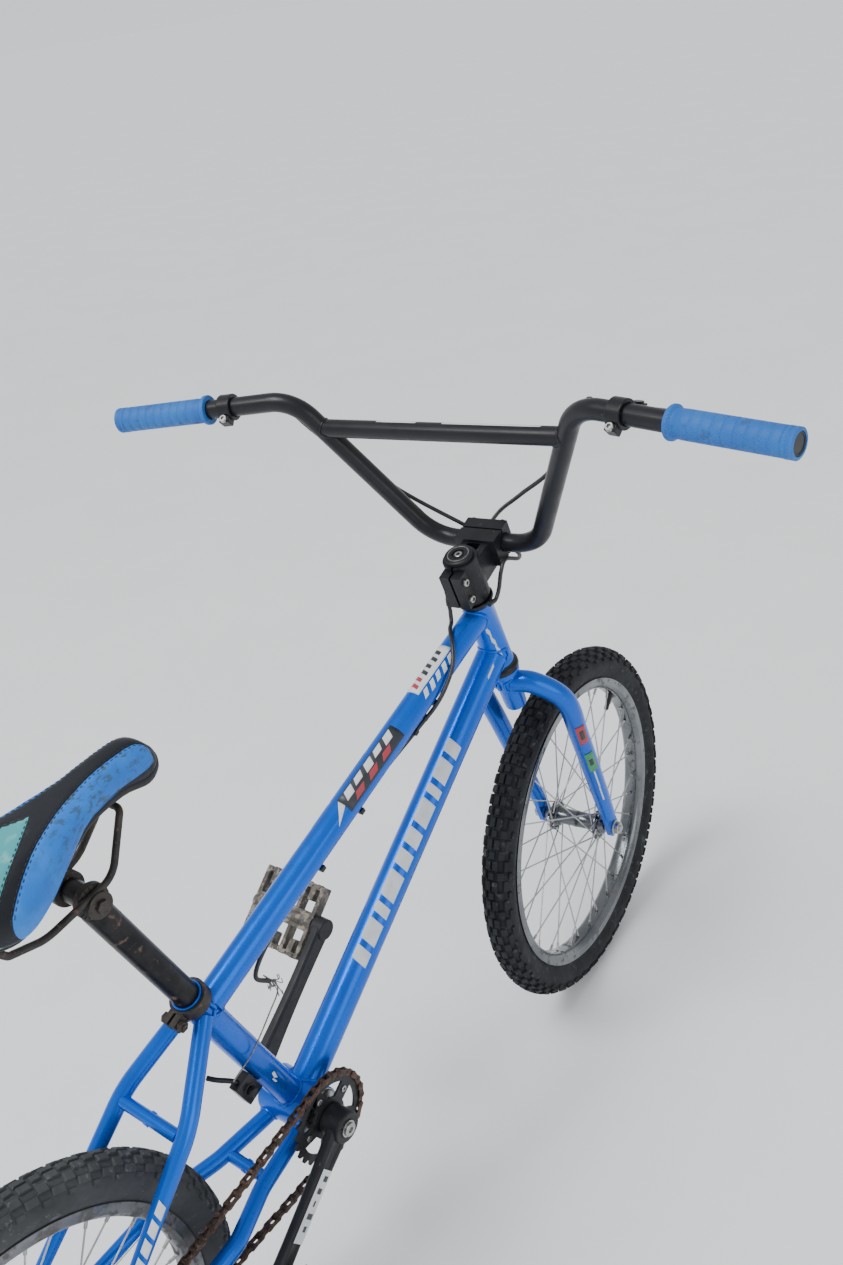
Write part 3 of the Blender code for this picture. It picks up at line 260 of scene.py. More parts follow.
DARK = worn("dark_decal", (0.016, 0.020, 0.026), (0.028, 0.032, 0.040), (0.35, 0.37, 0.38),
            scale=60, patch_scale=150, amount=0.68, rough=0.45, grain=0.2)
RED = worn("red_decal", (0.42, 0.030, 0.040), (0.34, 0.040, 0.060), (0.50, 0.34, 0.36),
           scale=70, patch_scale=150, amount=0.64, rough=0.45, grain=0.2)
GREEN = worn("green_decal", (0.040, 0.30, 0.12), (0.03, 0.22, 0.10), (0.45, 0.50, 0.45),
             scale=70, patch_scale=150, amount=0.64, rough=0.45, grain=0.2)
TEAL = (0.060, 0.330, 0.360)


def grip_material():
    """Rubber with a waffle of small squares between smooth bands; X runs along the grip."""
    made = Recipe("grip_rubber", rough=0.58)
    dirt = made.ramp(made.noise(55, 8), 0.56, 0.72)
    body = made.mix(made.ramp(made.noise(14), 0.35, 0.65), (0.010, 0.125, 0.470),
                    (0.016, 0.165, 0.540))
    made.colour(made.mix(dirt, body, (0.020, 0.075, 0.220)))
    x, y, z = made.axes()
    around = made.math("ARCTAN2", y, z)
    rows = made.math("SINE", made.math("MULTIPLY", x, 1600))
    columns = made.math("SINE", made.math("MULTIPLY", around, 26))
    waffle = made.ramp(made.math("MULTIPLY", rows, columns), -0.15, 0.25)
    made.bump(waffle, 0.8, 0.0006)
    made.bump(made.noise(700, 3), 0.25, 0.0002)
    return made.material


GRIP = grip_material()
# the slot that a finish usually belongs to; stickers have none
SLOTS = {PAINT: "blue_paint", BLACK: "black_paint", STEM_BLACK: "black_paint",
         CRANK_BLACK: "black_paint", PEDAL: "pedal_metal", STEEL: "bare_steel",
         SPOKE: "bare_steel", WIRE: "bare_steel", CHROME: "chrome", RIM_DULL: "chrome",
         RUST: "rusty_steel", CHAIN: "rusty_steel", TYRE: "tyre", TYRE_DUSTY: "tyre",
         PLASTIC: "black_plastic", CABLE: "black_plastic", GRIP: "grip_rubber"}


# ------------------------------------------------------------------ mesh building
def new_object(name, bm, matrix=WORLD, own_axes=False):
    """A mesh object. Its points are laid out in the shared axes unless it keeps its own."""
    mesh = bpy.data.meshes.new(name)
    bmesh.ops.recalc_face_normals(bm, faces=bm.faces)
    bm.to_mesh(mesh)
    bm.free()
    obj = bpy.data.objects.new(name, mesh)
    bpy.context.scene.collection.objects.link(obj)
    if own_axes:
        obj.matrix_world = matrix
    else:
        mesh.transform(matrix)
    return obj


def round_edges(obj, width, angle=32):
    rounding = obj.modifiers.new("edges", "BEVEL")
    rounding.width = width
    rounding.segments = 2
    rounding.limit_method = "ANGLE"
    rounding.angle_limit = math.radians(angle)


def dress(obj, mat, body, replaces=(), sharp=38, bevel=0.0, slot=None):
    """Gives a piece its material, soft shading and rounded edges, and puts it on its body.
    The slot argument is not used."""
    obj.data.materials.clear()
    obj.data.materials.append(mat)
    if bevel:
        round_edges(obj, bevel)
    obj.data.shade_smooth()
    obj.data.set_sharp_from_angle(angle=math.radians(sharp))
    if slot is None:
        slot = SLOTS.get(mat)
    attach(obj, body)
    if replaces:
        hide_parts(*replaces)
    return obj


def circle(count):
    """Evenly spaced angles once round."""
    return [2 * math.pi * k / count for k in range(count)]


def bridge(bm, rings, caps=True):
    """Faces from each ring of points to the next, and over both ends."""
    count = len(rings[0])
    for a, b in zip(rings, rings[1:]):
        for k in range(count):
            n = (k + 1) % count
            bm.faces.new((a[k], a[n], b[n], b[k]))
    if caps:
        bm.faces.new(rings[0][::-1])
        bm.faces.new(rings[-1])


def add_tube(bm, path, radius, sides=24, radii=None, closed=False, caps=True):
    """A round tube along a path, turned smoothly from ring to ring."""
    path = [Vector(p) for p in path]
    count = len(path)
    rings = []
    normal = None
    for i, point in enumerate(path):
        before = path[i - 1] if (i or closed) else path[0]
        after = path[(i + 1) % count] if (i + 1 < count or closed) else path[-1]
        tangent = (after - before).normalized()
        if normal is None:
            normal = tangent.orthogonal().normalized()
        normal = (normal - tangent * normal.dot(tangent)).normalized()
        side = tangent.cross(normal)
        r = radius * (radii[i] if radii else 1.0)
        rings.append([bm.verts.new(point + r * (math.cos(a) * normal + math.sin(a) * side))
                      for a in circle(sides)])
    bridge(bm, rings, caps and not closed)
    if closed:
        first, last = rings[0], rings[-1]
        shift = min(range(sides), key=lambda k: (first[k].co - last[0].co).length)
        bridge(bm, [last, first[shift:] + first[:shift]], False)
    return bm


def tube(name, path, radius, sides=24, radii=None, closed=False, matrix=WORLD):
    return new_object(name, add_tube(bmesh.new(), path, radius, sides, radii, closed), matrix)


def add_rod(bm, start, end, radius, sides=24, end_radius=None):
    """A straight round or tapered bar between two points."""
    scale = (end_radius or radius) / radius
    return add_tube(bm, [start, end], radius, sides, [1.0, scale])


def add_block(bm, low, high, matrix=WORLD):
    """A box between two opposite corners."""
    low, high = Vector(low), Vector(high)
    size = Matrix.Diagonal((*(abs(span) for span in high - low), 1.0))
    bmesh.ops.create_cube(bm, size=1.0, matrix=matrix @ Matrix.Translation((low + high) / 2) @ size)
    return bm


def block(name, low, high, matrix):
    return joined(name, lambda bm: add_block(bm, low, high), matrix)


def add_disc(bm, at, heights, radius, sides, scales):
    """A stepped disc about an axis along Y, with a (x, y sign, z) place and its heights in Y."""
    x, side, z = at
    return add_tube(bm, [(x, side * h, z) for h in heights], radius, sides, scales)


def add_lathe(bm, profile, steps=64, closed=True, turn=WORLD):
    """A profile of (radius, height) turned round Z, then turned by a matrix."""
    rings = [[bm.verts.new(turn @ Vector((r * math.cos(a), r * math.sin(a), h)))
              for r, h in profile] for a in circle(steps)]
    count = len(profile)
    for k in range(steps):
        a, b = rings[k], rings[(k + 1) % steps]
        for i in range(count if closed else count - 1):
            n = (i + 1) % count
            bm.faces.new((a[i], b[i], b[n], a[n]))
    if not closed:
        bm.faces.new([ring[0] for ring in rings])
        bm.faces.new([ring[-1] for ring in rings][::-1])
    return bm


def lathe(name, profile, steps=64, closed=True, turn=WORLD, matrix=WORLD, own_axes=False):
    return new_object(name, add_lathe(bmesh.new(), profile, steps, closed, turn), matrix,
                      own_axes)


def rounded(path, radii, steps=10):
    """Straight runs between corners, each inner corner an arc of its radius."""
    corners = [Vector(c) for c in path]
    made = [corners[0]]
    for before, corner, after, radius in zip(corners, corners[1:], corners[2:], radii):
        back, ahead = (before - corner).normalized(), (after - corner).normalized()
        half = back.angle(ahead) / 2
        centre = corner + (back + ahead).normalized() * radius / math.sin(half)
        first = corner + back * radius / math.tan(half) - centre
        last = corner + ahead * radius / math.tan(half) - centre
        whole = first.angle(last)
        for k in range(steps + 1):
            made.append(centre + Matrix.Rotation(whole * k / steps, 3, first.cross(last)) @ first)
    made.append(corners[-1])
    return made


def smooth(points, per_span=8):
    """A Catmull-Rom curve through points."""
    points = [Vector(p) for p in points]
    ends = [2 * points[0] - points[1], *points, 2 * points[-1] - points[-2]]
    made = []
    for a, b, c, d in zip(ends, ends[1:], ends[2:], ends[3:]):
        for k in range(per_span):
            t = k / per_span
            made.append(0.5 * (2 * b + (c - a) * t + (2 * a - 5 * b + 4 * c - d) * t * t
                               + (3 * b - a - 3 * c + d) * t ** 3))
    made.append(points[-1])
    return made


def mirrored(profile):
    """A turned profile's other half, in running order."""
    return [(r, -h) for r, h in reversed(profile)]


def arc(radius, start, end, steps):
    """Points of a circle about the origin from one angle in degrees to another."""
    angles = [math.radians(start + (end - start) * k / steps) for k in range(steps + 1)]
    return [(radius * math.cos(a), radius * math.sin(a)) for a in angles]


def evaluated_mesh(obj):
    bpy.context.view_layer.update()
    return bpy.data.meshes.new_from_object(obj.evaluated_get(
        bpy.context.evaluated_depsgraph_get()))


def bake(obj):
    """Applies a piece's modifiers."""
    mesh = evaluated_mesh(obj)
    obj.modifiers.clear()
    obj.data = mesh


def plate(name, outlines, thickness, matrix):
    """A flat plate from an outer outline and its holes, in the XY plane of the matrix."""
    curve = bpy.data.curves.new(name, "CURVE")
    curve.dimensions = "2D"
    curve.fill_mode = "BOTH"
    curve.extrude = thickness / 2
    for outline in outlines:
        spline = curve.splines.new("POLY")
        spline.points.add(len(outline) - 1)
        spline.use_cyclic_u = True
        for point, (x, y) in zip(spline.points, outline):
            point.co = (x, y, 0.0, 1.0)
    guide = bpy.data.objects.new(name, curve)
    bpy.context.scene.collection.objects.link(guide)
    mesh = evaluated_mesh(guide)
    bpy.data.objects.remove(guide)
    bm = bmesh.new()
    bm.from_mesh(mesh)
    bmesh.ops.remove_doubles(bm, verts=bm.verts, dist=0.000002)
    bpy.data.meshes.remove(mesh)
    return new_object(name, bm, matrix)


def carve(obj, cutter, operation="DIFFERENCE"):
    """Applies one exact Boolean and removes the cutter."""
    step = obj.modifiers.new("carve", "BOOLEAN")
    step.operation = operation
    step.solver = "EXACT"
    step.object = cutter
    bake(obj)
    bpy.data.objects.remove(cutter)


def joined(name, build, matrix=WORLD, own_axes=False):
    """A piece from a function that adds its parts to one mesh."""
    bm = bmesh.new()
    build(bm)
    return new_object(name, bm, matrix, own_axes)


def bolt(name, matrix, body, radius, height):
    """A steel cap screw on the XY plane of the matrix, with a six-sided socket."""
    def reach(r, a):
        if r > radius * 0.5:
            return r
        return r / math.cos((a + math.pi / 6) % (math.pi / 3) - math.pi / 6)

    def build(bm):
        profile = [(0.45, 0.35), (0.50, 1.0), (0.85, 1.0), (1.0, 0.82), (1.0, 0.0)]
        bridge(bm, [[bm.verts.new((reach(radius * r, a) * math.cos(a),
                                   reach(radius * r, a) * math.sin(a), height * h))
                     for a in circle(24)] for r, h in profile])
    return dress(joined(name, build, matrix), STEEL, body, sharp=30, slot=False)


def facing(point, normal):
    """A matrix at a point with Z along the normal."""
    return Matrix.Translation(point) @ Vector(normal).to_track_quat("Z", "Y").to_matrix().to_4x4()


WELD_STEPS = 40


def weld(name, start, end, radius, other_start, other_end, other_radius, body, mat=PAINT,
         bead=0.0021):
    """The bead where a round tube from start runs into another round tube at end."""
    start, end = Vector(start), Vector(end)
    other_start, other_end = Vector(other_start), Vector(other_end)
    along, other = (end - start).normalized(), (other_end - other_start).normalized()
    side = along.orthogonal().normalized()
    up = along.cross(side)
    ring = []
    for a in circle(WELD_STEPS):
        base = start + radius * (math.cos(a) * side + math.sin(a) * up) - other_start
        p, d = base - other * base.dot(other), along - other * along.dot(other)
        qa, qb, qc = d.dot(d), 2 * p.dot(d), p.dot(p) - other_radius ** 2
        root = qb * qb - 4 * qa * qc
        t = (-qb - math.sqrt(max(root, 0.0))) / (2 * qa)
        ring.append(base + other_start + along * t)
    ripple = [1.0 + 0.12 * math.sin(k * 2.6) for k in range(WELD_STEPS)]
    bm = add_tube(bmesh.new(), ring, bead, 8, ripple, closed=True)
    dress(new_object(name, bm), mat, body, sharp=80, slot=False)


# ------------------------------------------------------------------ frame
def head_point(height, forward=0.0, side=0.0):
    """A place in the head tube's own axes."""
    return HEAD @ Vector((forward, side, height))


def seat_point(height, forward=0.0, side=0.0):
    """A place in the seat tube's own axes."""
    return SEAT @ Vector((forward, side, height))


BB_AT = Vector((BB_X, 0, BB_HEIGHT))
TOP_TUBE = (head_point(0.4538), seat_point(0.223))
DOWN_TUBE = (head_point(0.390), BB_AT)
HEAD_LINE = (head_point(0.37), head_point(0.47))
SEAT_LINE = (BB_AT, seat_point(0.258))
BB_LINE = (BB_AT - Vector((0, 0.034, 0)), BB_AT + Vector((0, 0.034, 0)))


def between(line, trim_start, trim_end):
    """The line with a length taken off each end."""
    a, b = line
    run = (b - a).normalized()
    return a + run * trim_start, b - run * trim_end


def make_stay(name, corners, radii, rings=1):
    """A stay with rounded corners that thins towards its dropout; rings divide its first run."""
    path = rounded(corners, radii)
    path[0:1] = [path[0].lerp(path[1], k / rings) for k in range(rings)]
    path[-1:] = [path[-2].lerp(path[-1], k / 5) for k in range(1, 6)]
    taper = [1.0] * (len(path) - 5) + [0.94, 0.87, 0.80, 0.73, 0.65]
    dress(tube(f"{name}_tube", path, STAY_RADIUS, 36, taper), PAINT, "frame", [name])
    return path


def make_frame():
    bevelled = [(0.0182, 0.3703), (0.0182, 0.3720), (0.0178, 0.3730), (0.0178, 0.4670),
                (0.0182, 0.4680), (0.0182, 0.4697), (0.0156, 0.4700), (0.0156, 0.3700)]
    dress(lathe("head_tube_shell", bevelled[::-1], matrix=HEAD), PAINT, "frame", ["head_tube"])
    for name, line, radius, low_trim in (("top_tube", TOP_TUBE, TUBE_RADIUS, 0.010),
                                         ("down_tube", DOWN_TUBE, DOWN_RADIUS, 0.022)):
        dress(tube(f"{name}_shell", between(line, 0.010, low_trim), radius, 64), PAINT, "frame",
              [name])
    seat_profile = [(TUBE_RADIUS, 0.022), (TUBE_RADIUS, 0.2574), (0.0153, 0.2580),
                    (0.0141, 0.2580), (0.0140, 0.022)]
    dress(lathe("seat_tube_shell", seat_profile, matrix=SEAT), PAINT, "frame", ["seat_tube"])
    shell = [(SHELL_RADIUS, -0.0325), (SHELL_RADIUS, 0.0325), (0.0268, 0.0340),
             (0.0258, 0.0340), (0.0258, -0.0340), (0.0268, -0.0340)]
    dress(lathe("bb_shell_body", shell, 72, turn=AXLE, matrix=BB), PAINT, "frame", ["bb_shell"])
    into_head, into_seat = (*HEAD_LINE, HEAD_RADIUS), (*SEAT_LINE, TUBE_RADIUS)
    into_shell = (*BB_LINE, SHELL_RADIUS)
    for name, line, radius, into in (
            ("top_tube_head", TOP_TUBE[::-1], TUBE_RADIUS, into_head),
            ("top_tube_seat", TOP_TUBE, TUBE_RADIUS, into_seat),
            ("down_tube_head", DOWN_TUBE[::-1], DOWN_RADIUS, into_head),
            ("down_tube_shell", DOWN_TUBE, DOWN_RADIUS, into_shell),
            ("seat_tube_shell", SEAT_LINE[::-1], TUBE_RADIUS, into_shell)):
        weld(f"weld_{name}", *line, radius, *into, "frame")
    for side_name, side in SIDES.items():
        make_stay(f"seat_stay_{side_name}", [(-0.1945, 0.0120 * side, 0.5008),
                                             (-0.268, 0.0465 * side, 0.4388),
                                             (-0.4405, 0.0578 * side, 0.2934)], [0.12], 4)
        path = make_stay(f"chain_stay_{side_name}", [
            (-0.118, 0.020 * side, 0.277), (-0.205, 0.0330 * side, 0.270),
            (-0.262, 0.0520 * side, 0.264), (-0.4486, 0.0578 * side, 0.2525)], [0.08, 0.08])
        weld(f"weld_chain_stay_{side_name}", path[3], path[0], STAY_RADIUS, *into_shell, "frame")
        weld(f"weld_seat_stay_{side_name}", (-0.262, 0.0437 * side, 0.4438),
             (-0.1945, 0.0120 * side, 0.5008), STAY_RADIUS, *into_seat, "frame")
    for name, (x, z), half in (("seat_stay_bridge", (-0.277, 0.433), 0.0362),
                               ("chain_stay_bridge", (-0.194, 0.270), 0.0204)):
        bm = bmesh.new()
        add_tube(bm, [(x, -half - 0.004, z), (x, half + 0.004, z)], 0.0068, 36)
        add_rod(bm, (x + 0.0072, 0, z + 0.002), (x - 0.0072, 0, z - 0.002), 0.0032, 24)
        dress(new_object(name + "_tube", bm), PAINT, "frame", [name])
    for side_name in SIDES:
        repaint(NODES[f"dropout_{side_name}"], PAINT, 0.0007)


def repaint(obj, mat, bevel):
    """A CAD node that keeps its shape, with its edges rounded and its finish painted on."""
    obj.data.materials.clear()
    obj.data.materials.append(mat)
    merge = obj.modifiers.new("weld", "WELD")
    merge.merge_threshold = 0.000005
    round_edges(obj, bevel, 38)
    smoothing = obj.modifiers.new("shading", "WEIGHTED_NORMAL")
    smoothing.keep_sharp = False
    for face in obj.data.polygons:
        face.use_smooth = True


def make_frame_fittings():
    low, high = 0.3584, 0.3697
    cup = [(0.0150, high), (0.0185, high), (0.0190, high - 0.002), (0.0216, high - 0.004),
           (0.0222, high - 0.006), (0.0222, low + 0.0016), (0.0216, low), (0.0150, low)]
    dress(lathe("lower_headset_cup", cup, matrix=HEAD), BLACK, "frame", ["headset_lower_cup"])
    low, high = 0.4703, 0.4786
    cup = [(0.0150, high), (0.0216, high), (0.0222, high - 0.0012), (0.0222, high - 0.0030),
           (0.0200, low + 0.0026), (0.0189, low + 0.001), (0.0187, low), (0.0150, low)]
    dress(lathe("upper_headset_cup", cup, matrix=HEAD), BLACK, "frame", ["headset_upper_cup"])
    for side_name, side in SIDES.items():
        cup = [(0.0101, 0.0368), (0.0180, 0.0368), (0.0240, 0.0364), (0.0262, 0.0358),
               (0.0268, 0.0350), (0.0268, 0.0343), (0.0252, 0.0342), (0.0252, 0.0205),
               (0.0101, 0.0200)]
        obj = lathe(f"bottom_bracket_cup_{side_name}", [(r, h * side) for r, h in cup], 64,
                    turn=AXLE, matrix=BB)
        dress(obj, STEEL, "frame", [f"bb_cup_{side_name}"])
    clamp = [(0.0163, 0.2409), (0.0190, 0.2409), (0.0195, 0.2416), (0.0195, 0.2554),
             (0.0190, 0.2561), (0.0163, 0.2561)]

    def lugs(bm):
        add_lathe(bm, clamp, 64)
        for y in (-0.0085, 0.0015):
            add_block(bm, (-0.0318, y, 0.2417), (-0.0170, y + 0.0070, 0.2553))
    dress(joined("seat_collar", lugs, SEAT), RUST, "frame", ["seat_clamp"], bevel=0.0007)

    def bolt_build(bm):
        add_rod(bm, (-0.0258, -0.0155, 0.2485), (-0.0258, 0.0155, 0.2485), 0.0029, 20)
        add_rod(bm, (-0.0258, -0.0140, 0.2485), (-0.0258, -0.0088, 0.2485), 0.0060, 6)
        add_rod(bm, (-0.0258, 0.0088, 0.2485), (-0.0258, 0.0136, 0.2485), 0.0060, 6)
    dress(joined("seat_collar_bolt", bolt_build, SEAT), RUST, "frame", ["seat_clamp_bolt"],
          bevel=0.0005)

    def anchor(bm):
        add_block(bm, (-0.0385, -0.0140, 0.088), (-0.0166, -0.0022, 0.122))
        add_rod(bm, (-0.028, -0.0150, 0.104), (-0.028, -0.0132, 0.104), 0.0078, 32)
        add_rod(bm, (-0.028, -0.0212, 0.104), (-0.028, -0.0148, 0.104), 0.0056, 6)
        add_rod(bm, (-0.028, -0.0021, 0.104), (-0.028, 0.0028, 0.104), 0.0040, 20)
        add_tube(bm, smooth([(-0.0300, -0.008, 0.121), (-0.0330, -0.006, 0.130),
                             (-0.0400, 0.002, 0.140), (-0.0440, 0.010, 0.146)]), 0.0027, 16)
    dress(joined("cable_block", anchor, SEAT), BLACK, "frame", ["cable_anchor"], bevel=0.0012)
    # clips that hold the housing under the top tube
    a, b = TOP_TUBE
    run = (b - a).normalized()
    for k, share in enumerate((0.235, 0.275, 0.315, 0.520, 0.660)):
        turn = facing(a.lerp(b, share), run)
        low_side = turn.inverted().to_3x3() @ Vector((0, -0.5, -1))
        spot = turn @ (Vector((low_side.x, low_side.y, 0)).normalized() * 0.0190)
        clip = block(f"clip_block_{k}", (-0.0032, -0.0030, -0.0034), (0.0032, 0.0030, 0.0034),
                     facing(spot, run))
        dress(clip, PLASTIC, "frame", bevel=0.0008)


# ------------------------------------------------------------------ fork, stem and bar
def leg_path(side):
    """A fork leg's centre line in the steering axes, with its taper."""
    route = [(0.000, 0.006, 0.333), (0.008, 0.034, 0.325), (0.018, 0.0615, 0.288),
             (0.0235, 0.0600, 0.210), (0.0300, 0.0560, 0.090), (0.0330, 0.0537, 0.026)]
    path = smooth([(x, y * side, z) for x, y, z in route], 10)
    last = len(path) - 1
    return path, [1.0 - 0.26 * (k / last) ** 2 for k in range(last + 1)]


def make_fork():
    steerer = [(0.0120, 0.2905), (0.0138, 0.2910), (0.0143, 0.300), (0.0146, 0.347),
               (0.0180, 0.3500), (0.0203, 0.3505), (0.0205, 0.3515), (0.0205, 0.3570),
               (0.0200, 0.3580), (0.0143, 0.3580), (0.0143, 0.5365), (0.0135, 0.5370)]
    dress(lathe("steerer_shell", steerer, 64, closed=False, matrix=STEERING), PAINT, "fork",
          ["steerer_tube"])
    for side_name, side in SIDES.items():
        path, radii = leg_path(side)
        leg = bmesh.new()
        add_tube(leg, path, LEG_RADIUS, 40, radii)
        end = Vector((0.0331, 0.0537 * side, 0.0265))
        add_tube(leg, [end, end + Vector((0.0003, 0, -0.004)), end + Vector((0.0005, 0, -0.0066))],
                 0.0105, 32, [1.0, 0.85, 0.45])
        obj = new_object(f"fork_blade_{side_name}", leg, STEERING)
        outline = [(-0.0112, 0.046), (-0.0125, 0.004)] + arc(0.0133, 195, 240, 6)
        outline += [(-0.0054, -0.0126), *arc(0.0054, 180, 0, 16), (0.0054, -0.0126)]
        outline += arc(0.0133, 300, 345, 6) + [(0.0125, 0.004), (0.0112, 0.046)]
        tip = plate(f"fork_end_{side_name}", [outline], 0.0068,
                    STEERING @ move(FORK_OFFSET, side * 0.0537, 0) @ FLAT)
        dress(tip, PAINT, "fork", bevel=0.0010)
        dress(obj, PAINT, "fork", [f"fork_leg_{side_name}"])
        weld(f"weld_fork_{side_name}", STEERING @ path[4], STEERING @ path[0], LEG_RADIUS,
             STEERING @ Vector((0, 0, 0.29)), STEERING @ Vector((0, 0, 0.35)), LEG_RADIUS,
             "fork", bead=0.0018)
    dress(lathe("front_axle_nuts", axle_profile(0.0690, (0.0443, 0.0498), (0.0575, 0.0660)), 48,
                closed=False, turn=AXLE, matrix=FRONT), STEEL, "fork", ["front_axle"])


def axle_profile(half, cone, nut):
    """Axle with threads, cones, washers and rounded nuts, from one end to the other."""
    one = [(0.0030, half), (0.0044, half - 0.0006)]
    h = half - 0.0012
    while h > nut[1] + 0.0012:
        one += [(0.0047, h), (0.0043, h - 0.0005)]
        h -= 0.0010
    one += [(0.0047, nut[1]), (0.0075, nut[1]), (0.0086, nut[1] - 0.0010),
            (0.0086, nut[0] + 0.0026), (0.0105, nut[0] + 0.0016), (0.0105, nut[0]),
            (0.0047, nut[0]), (0.0047, cone[1]), (0.0080, cone[1] - 0.0003),
            (0.0080, cone[0] + 0.0016), (0.0062, cone[0]), (0.0047, cone[0])]
    return one + mirrored(one)


def make_stem():
    spacer = [(0.0147, 0.4792), (0.0186, 0.4792), (0.0190, 0.4796), (0.0190, 0.4828),
              (0.0186, 0.4832), (0.0147, 0.4832)]
    dress(lathe("spacer_ring", spacer, matrix=STEERING), STEM_BLACK, "fork", ["headset_spacer"])

    def bar_hole(bm):
        add_rod(bm, (BAR_REACH, -0.05, BAR_HEIGHT), (BAR_REACH, 0.05, BAR_HEIGHT), 0.0114, 48)
    body = lathe("stem_clamp", [(0.0205, 0.4836), (0.0205, 0.5400)], 64, closed=False,
                 matrix=STEERING)
    for low, high in (((0.006, -0.0172, 0.4940), (0.052, 0.0172, 0.5318)),
                      ((0.0350, -0.0265, 0.4974), (0.0552, 0.0265, 0.5360)),
                      ((-0.0308, -0.0138, 0.4880), (-0.0110, 0.0138, 0.5348))):
        carve(body, block("part", low, high, STEERING), "UNION")
    for cut in (lambda bm: add_rod(bm, (0, 0, 0.47), (0, 0, 0.56), 0.0146, 48), bar_hole,
                lambda bm: add_block(bm, (-0.040, -0.0014, 0.47), (-0.012, 0.0014, 0.56)),
                lambda bm: add_block(bm, (0.0225, -0.0085, 0.48), (0.0345, 0.0085, 0.55))):
        carve(body, joined("cutter", cut, STEERING))
    dress(body, STEM_BLACK, "fork", ["stem_body"], bevel=0.0012)
    front = block("stem_cap_front", (0.0576, -0.0265, 0.4974), (0.0732, 0.0265, 0.5360), STEERING)
    carve(front, joined("cutter", bar_hole, STEERING))
    dress(front, STEM_BLACK, "fork", ["stem_faceplate"], bevel=0.0022)
    for i, y in enumerate((-0.0195, 0.0195)):
        for j, z in enumerate((0.5020, 0.5314)):
            bolt(f"faceplate_bolt_{i}{j}", STEERING @ facing((0.0722, y, z), (1, 0, 0)), "fork",
                 0.0040, 0.0035)
    for j, z in enumerate((0.4985, 0.5240)):
        bolt(f"pinch_bolt_{j}", STEERING @ facing((-0.0235, -0.0134, z), (0, -1, 0)), "fork",
             0.0046, 0.0040)
        nut = joined(f"pinch_nut_{j}", lambda bm, z=z: add_rod(
            bm, (-0.0235, 0.0134, z), (-0.0235, 0.0165, z), 0.0050, 6), STEERING)
        dress(nut, STEEL, "fork", bevel=0.0005)
    cap = [(0.0010, 0.5452), (0.0060, 0.5452), (0.0062, 0.5438), (0.0075, 0.5438),
           (0.0078, 0.5456), (0.0130, 0.5459), (0.0160, 0.5455), (0.0171, 0.5445),
           (0.0172, 0.5404), (0.0010, 0.5404)]
    dress(lathe("stem_top_cap", cap, 72, matrix=STEERING), STEM_BLACK, "fork", ["top_cap"])
    ring = [(0.0118, 0.5458), (0.0122, 0.5462), (0.0128, 0.5462), (0.0132, 0.5458)]
    dress(lathe("cap_ring", ring, matrix=STEERING), WIRE, "fork")
    bolt("cap_bolt", STEERING @ move(0, 0, 0.5437), "fork", 0.0045, 0.0020)


def bar_end(side):
    """A side's shoulder and end of the bar, in the bar's axes."""
    run = BAR_HALF - BAR_SHOULDER
    shoulder = Vector((0, side * BAR_SHOULDER, BAR_RISE))
    end = Vector((-run * math.tan(BACKSWEEP), side * BAR_HALF,
                  BAR_RISE + run * math.tan(UPSWEEP)))
    return shoulder, end


def grip_frame(side, out):
    """Axes on the bar at a distance out from its middle, with X outwards and Z up."""
    shoulder, end = bar_end(side)
    outward = (end - shoulder).normalized()
    up = (Vector((0, 0, 1)) - outward * outward.z).normalized()
    turn = Matrix((outward, up.cross(outward), up)).transposed().to_4x4()
    at = shoulder + (end - shoulder) * (out - BAR_SHOULDER) / (BAR_HALF - BAR_SHOULDER)
    return BAR @ Matrix.Translation(at) @ turn


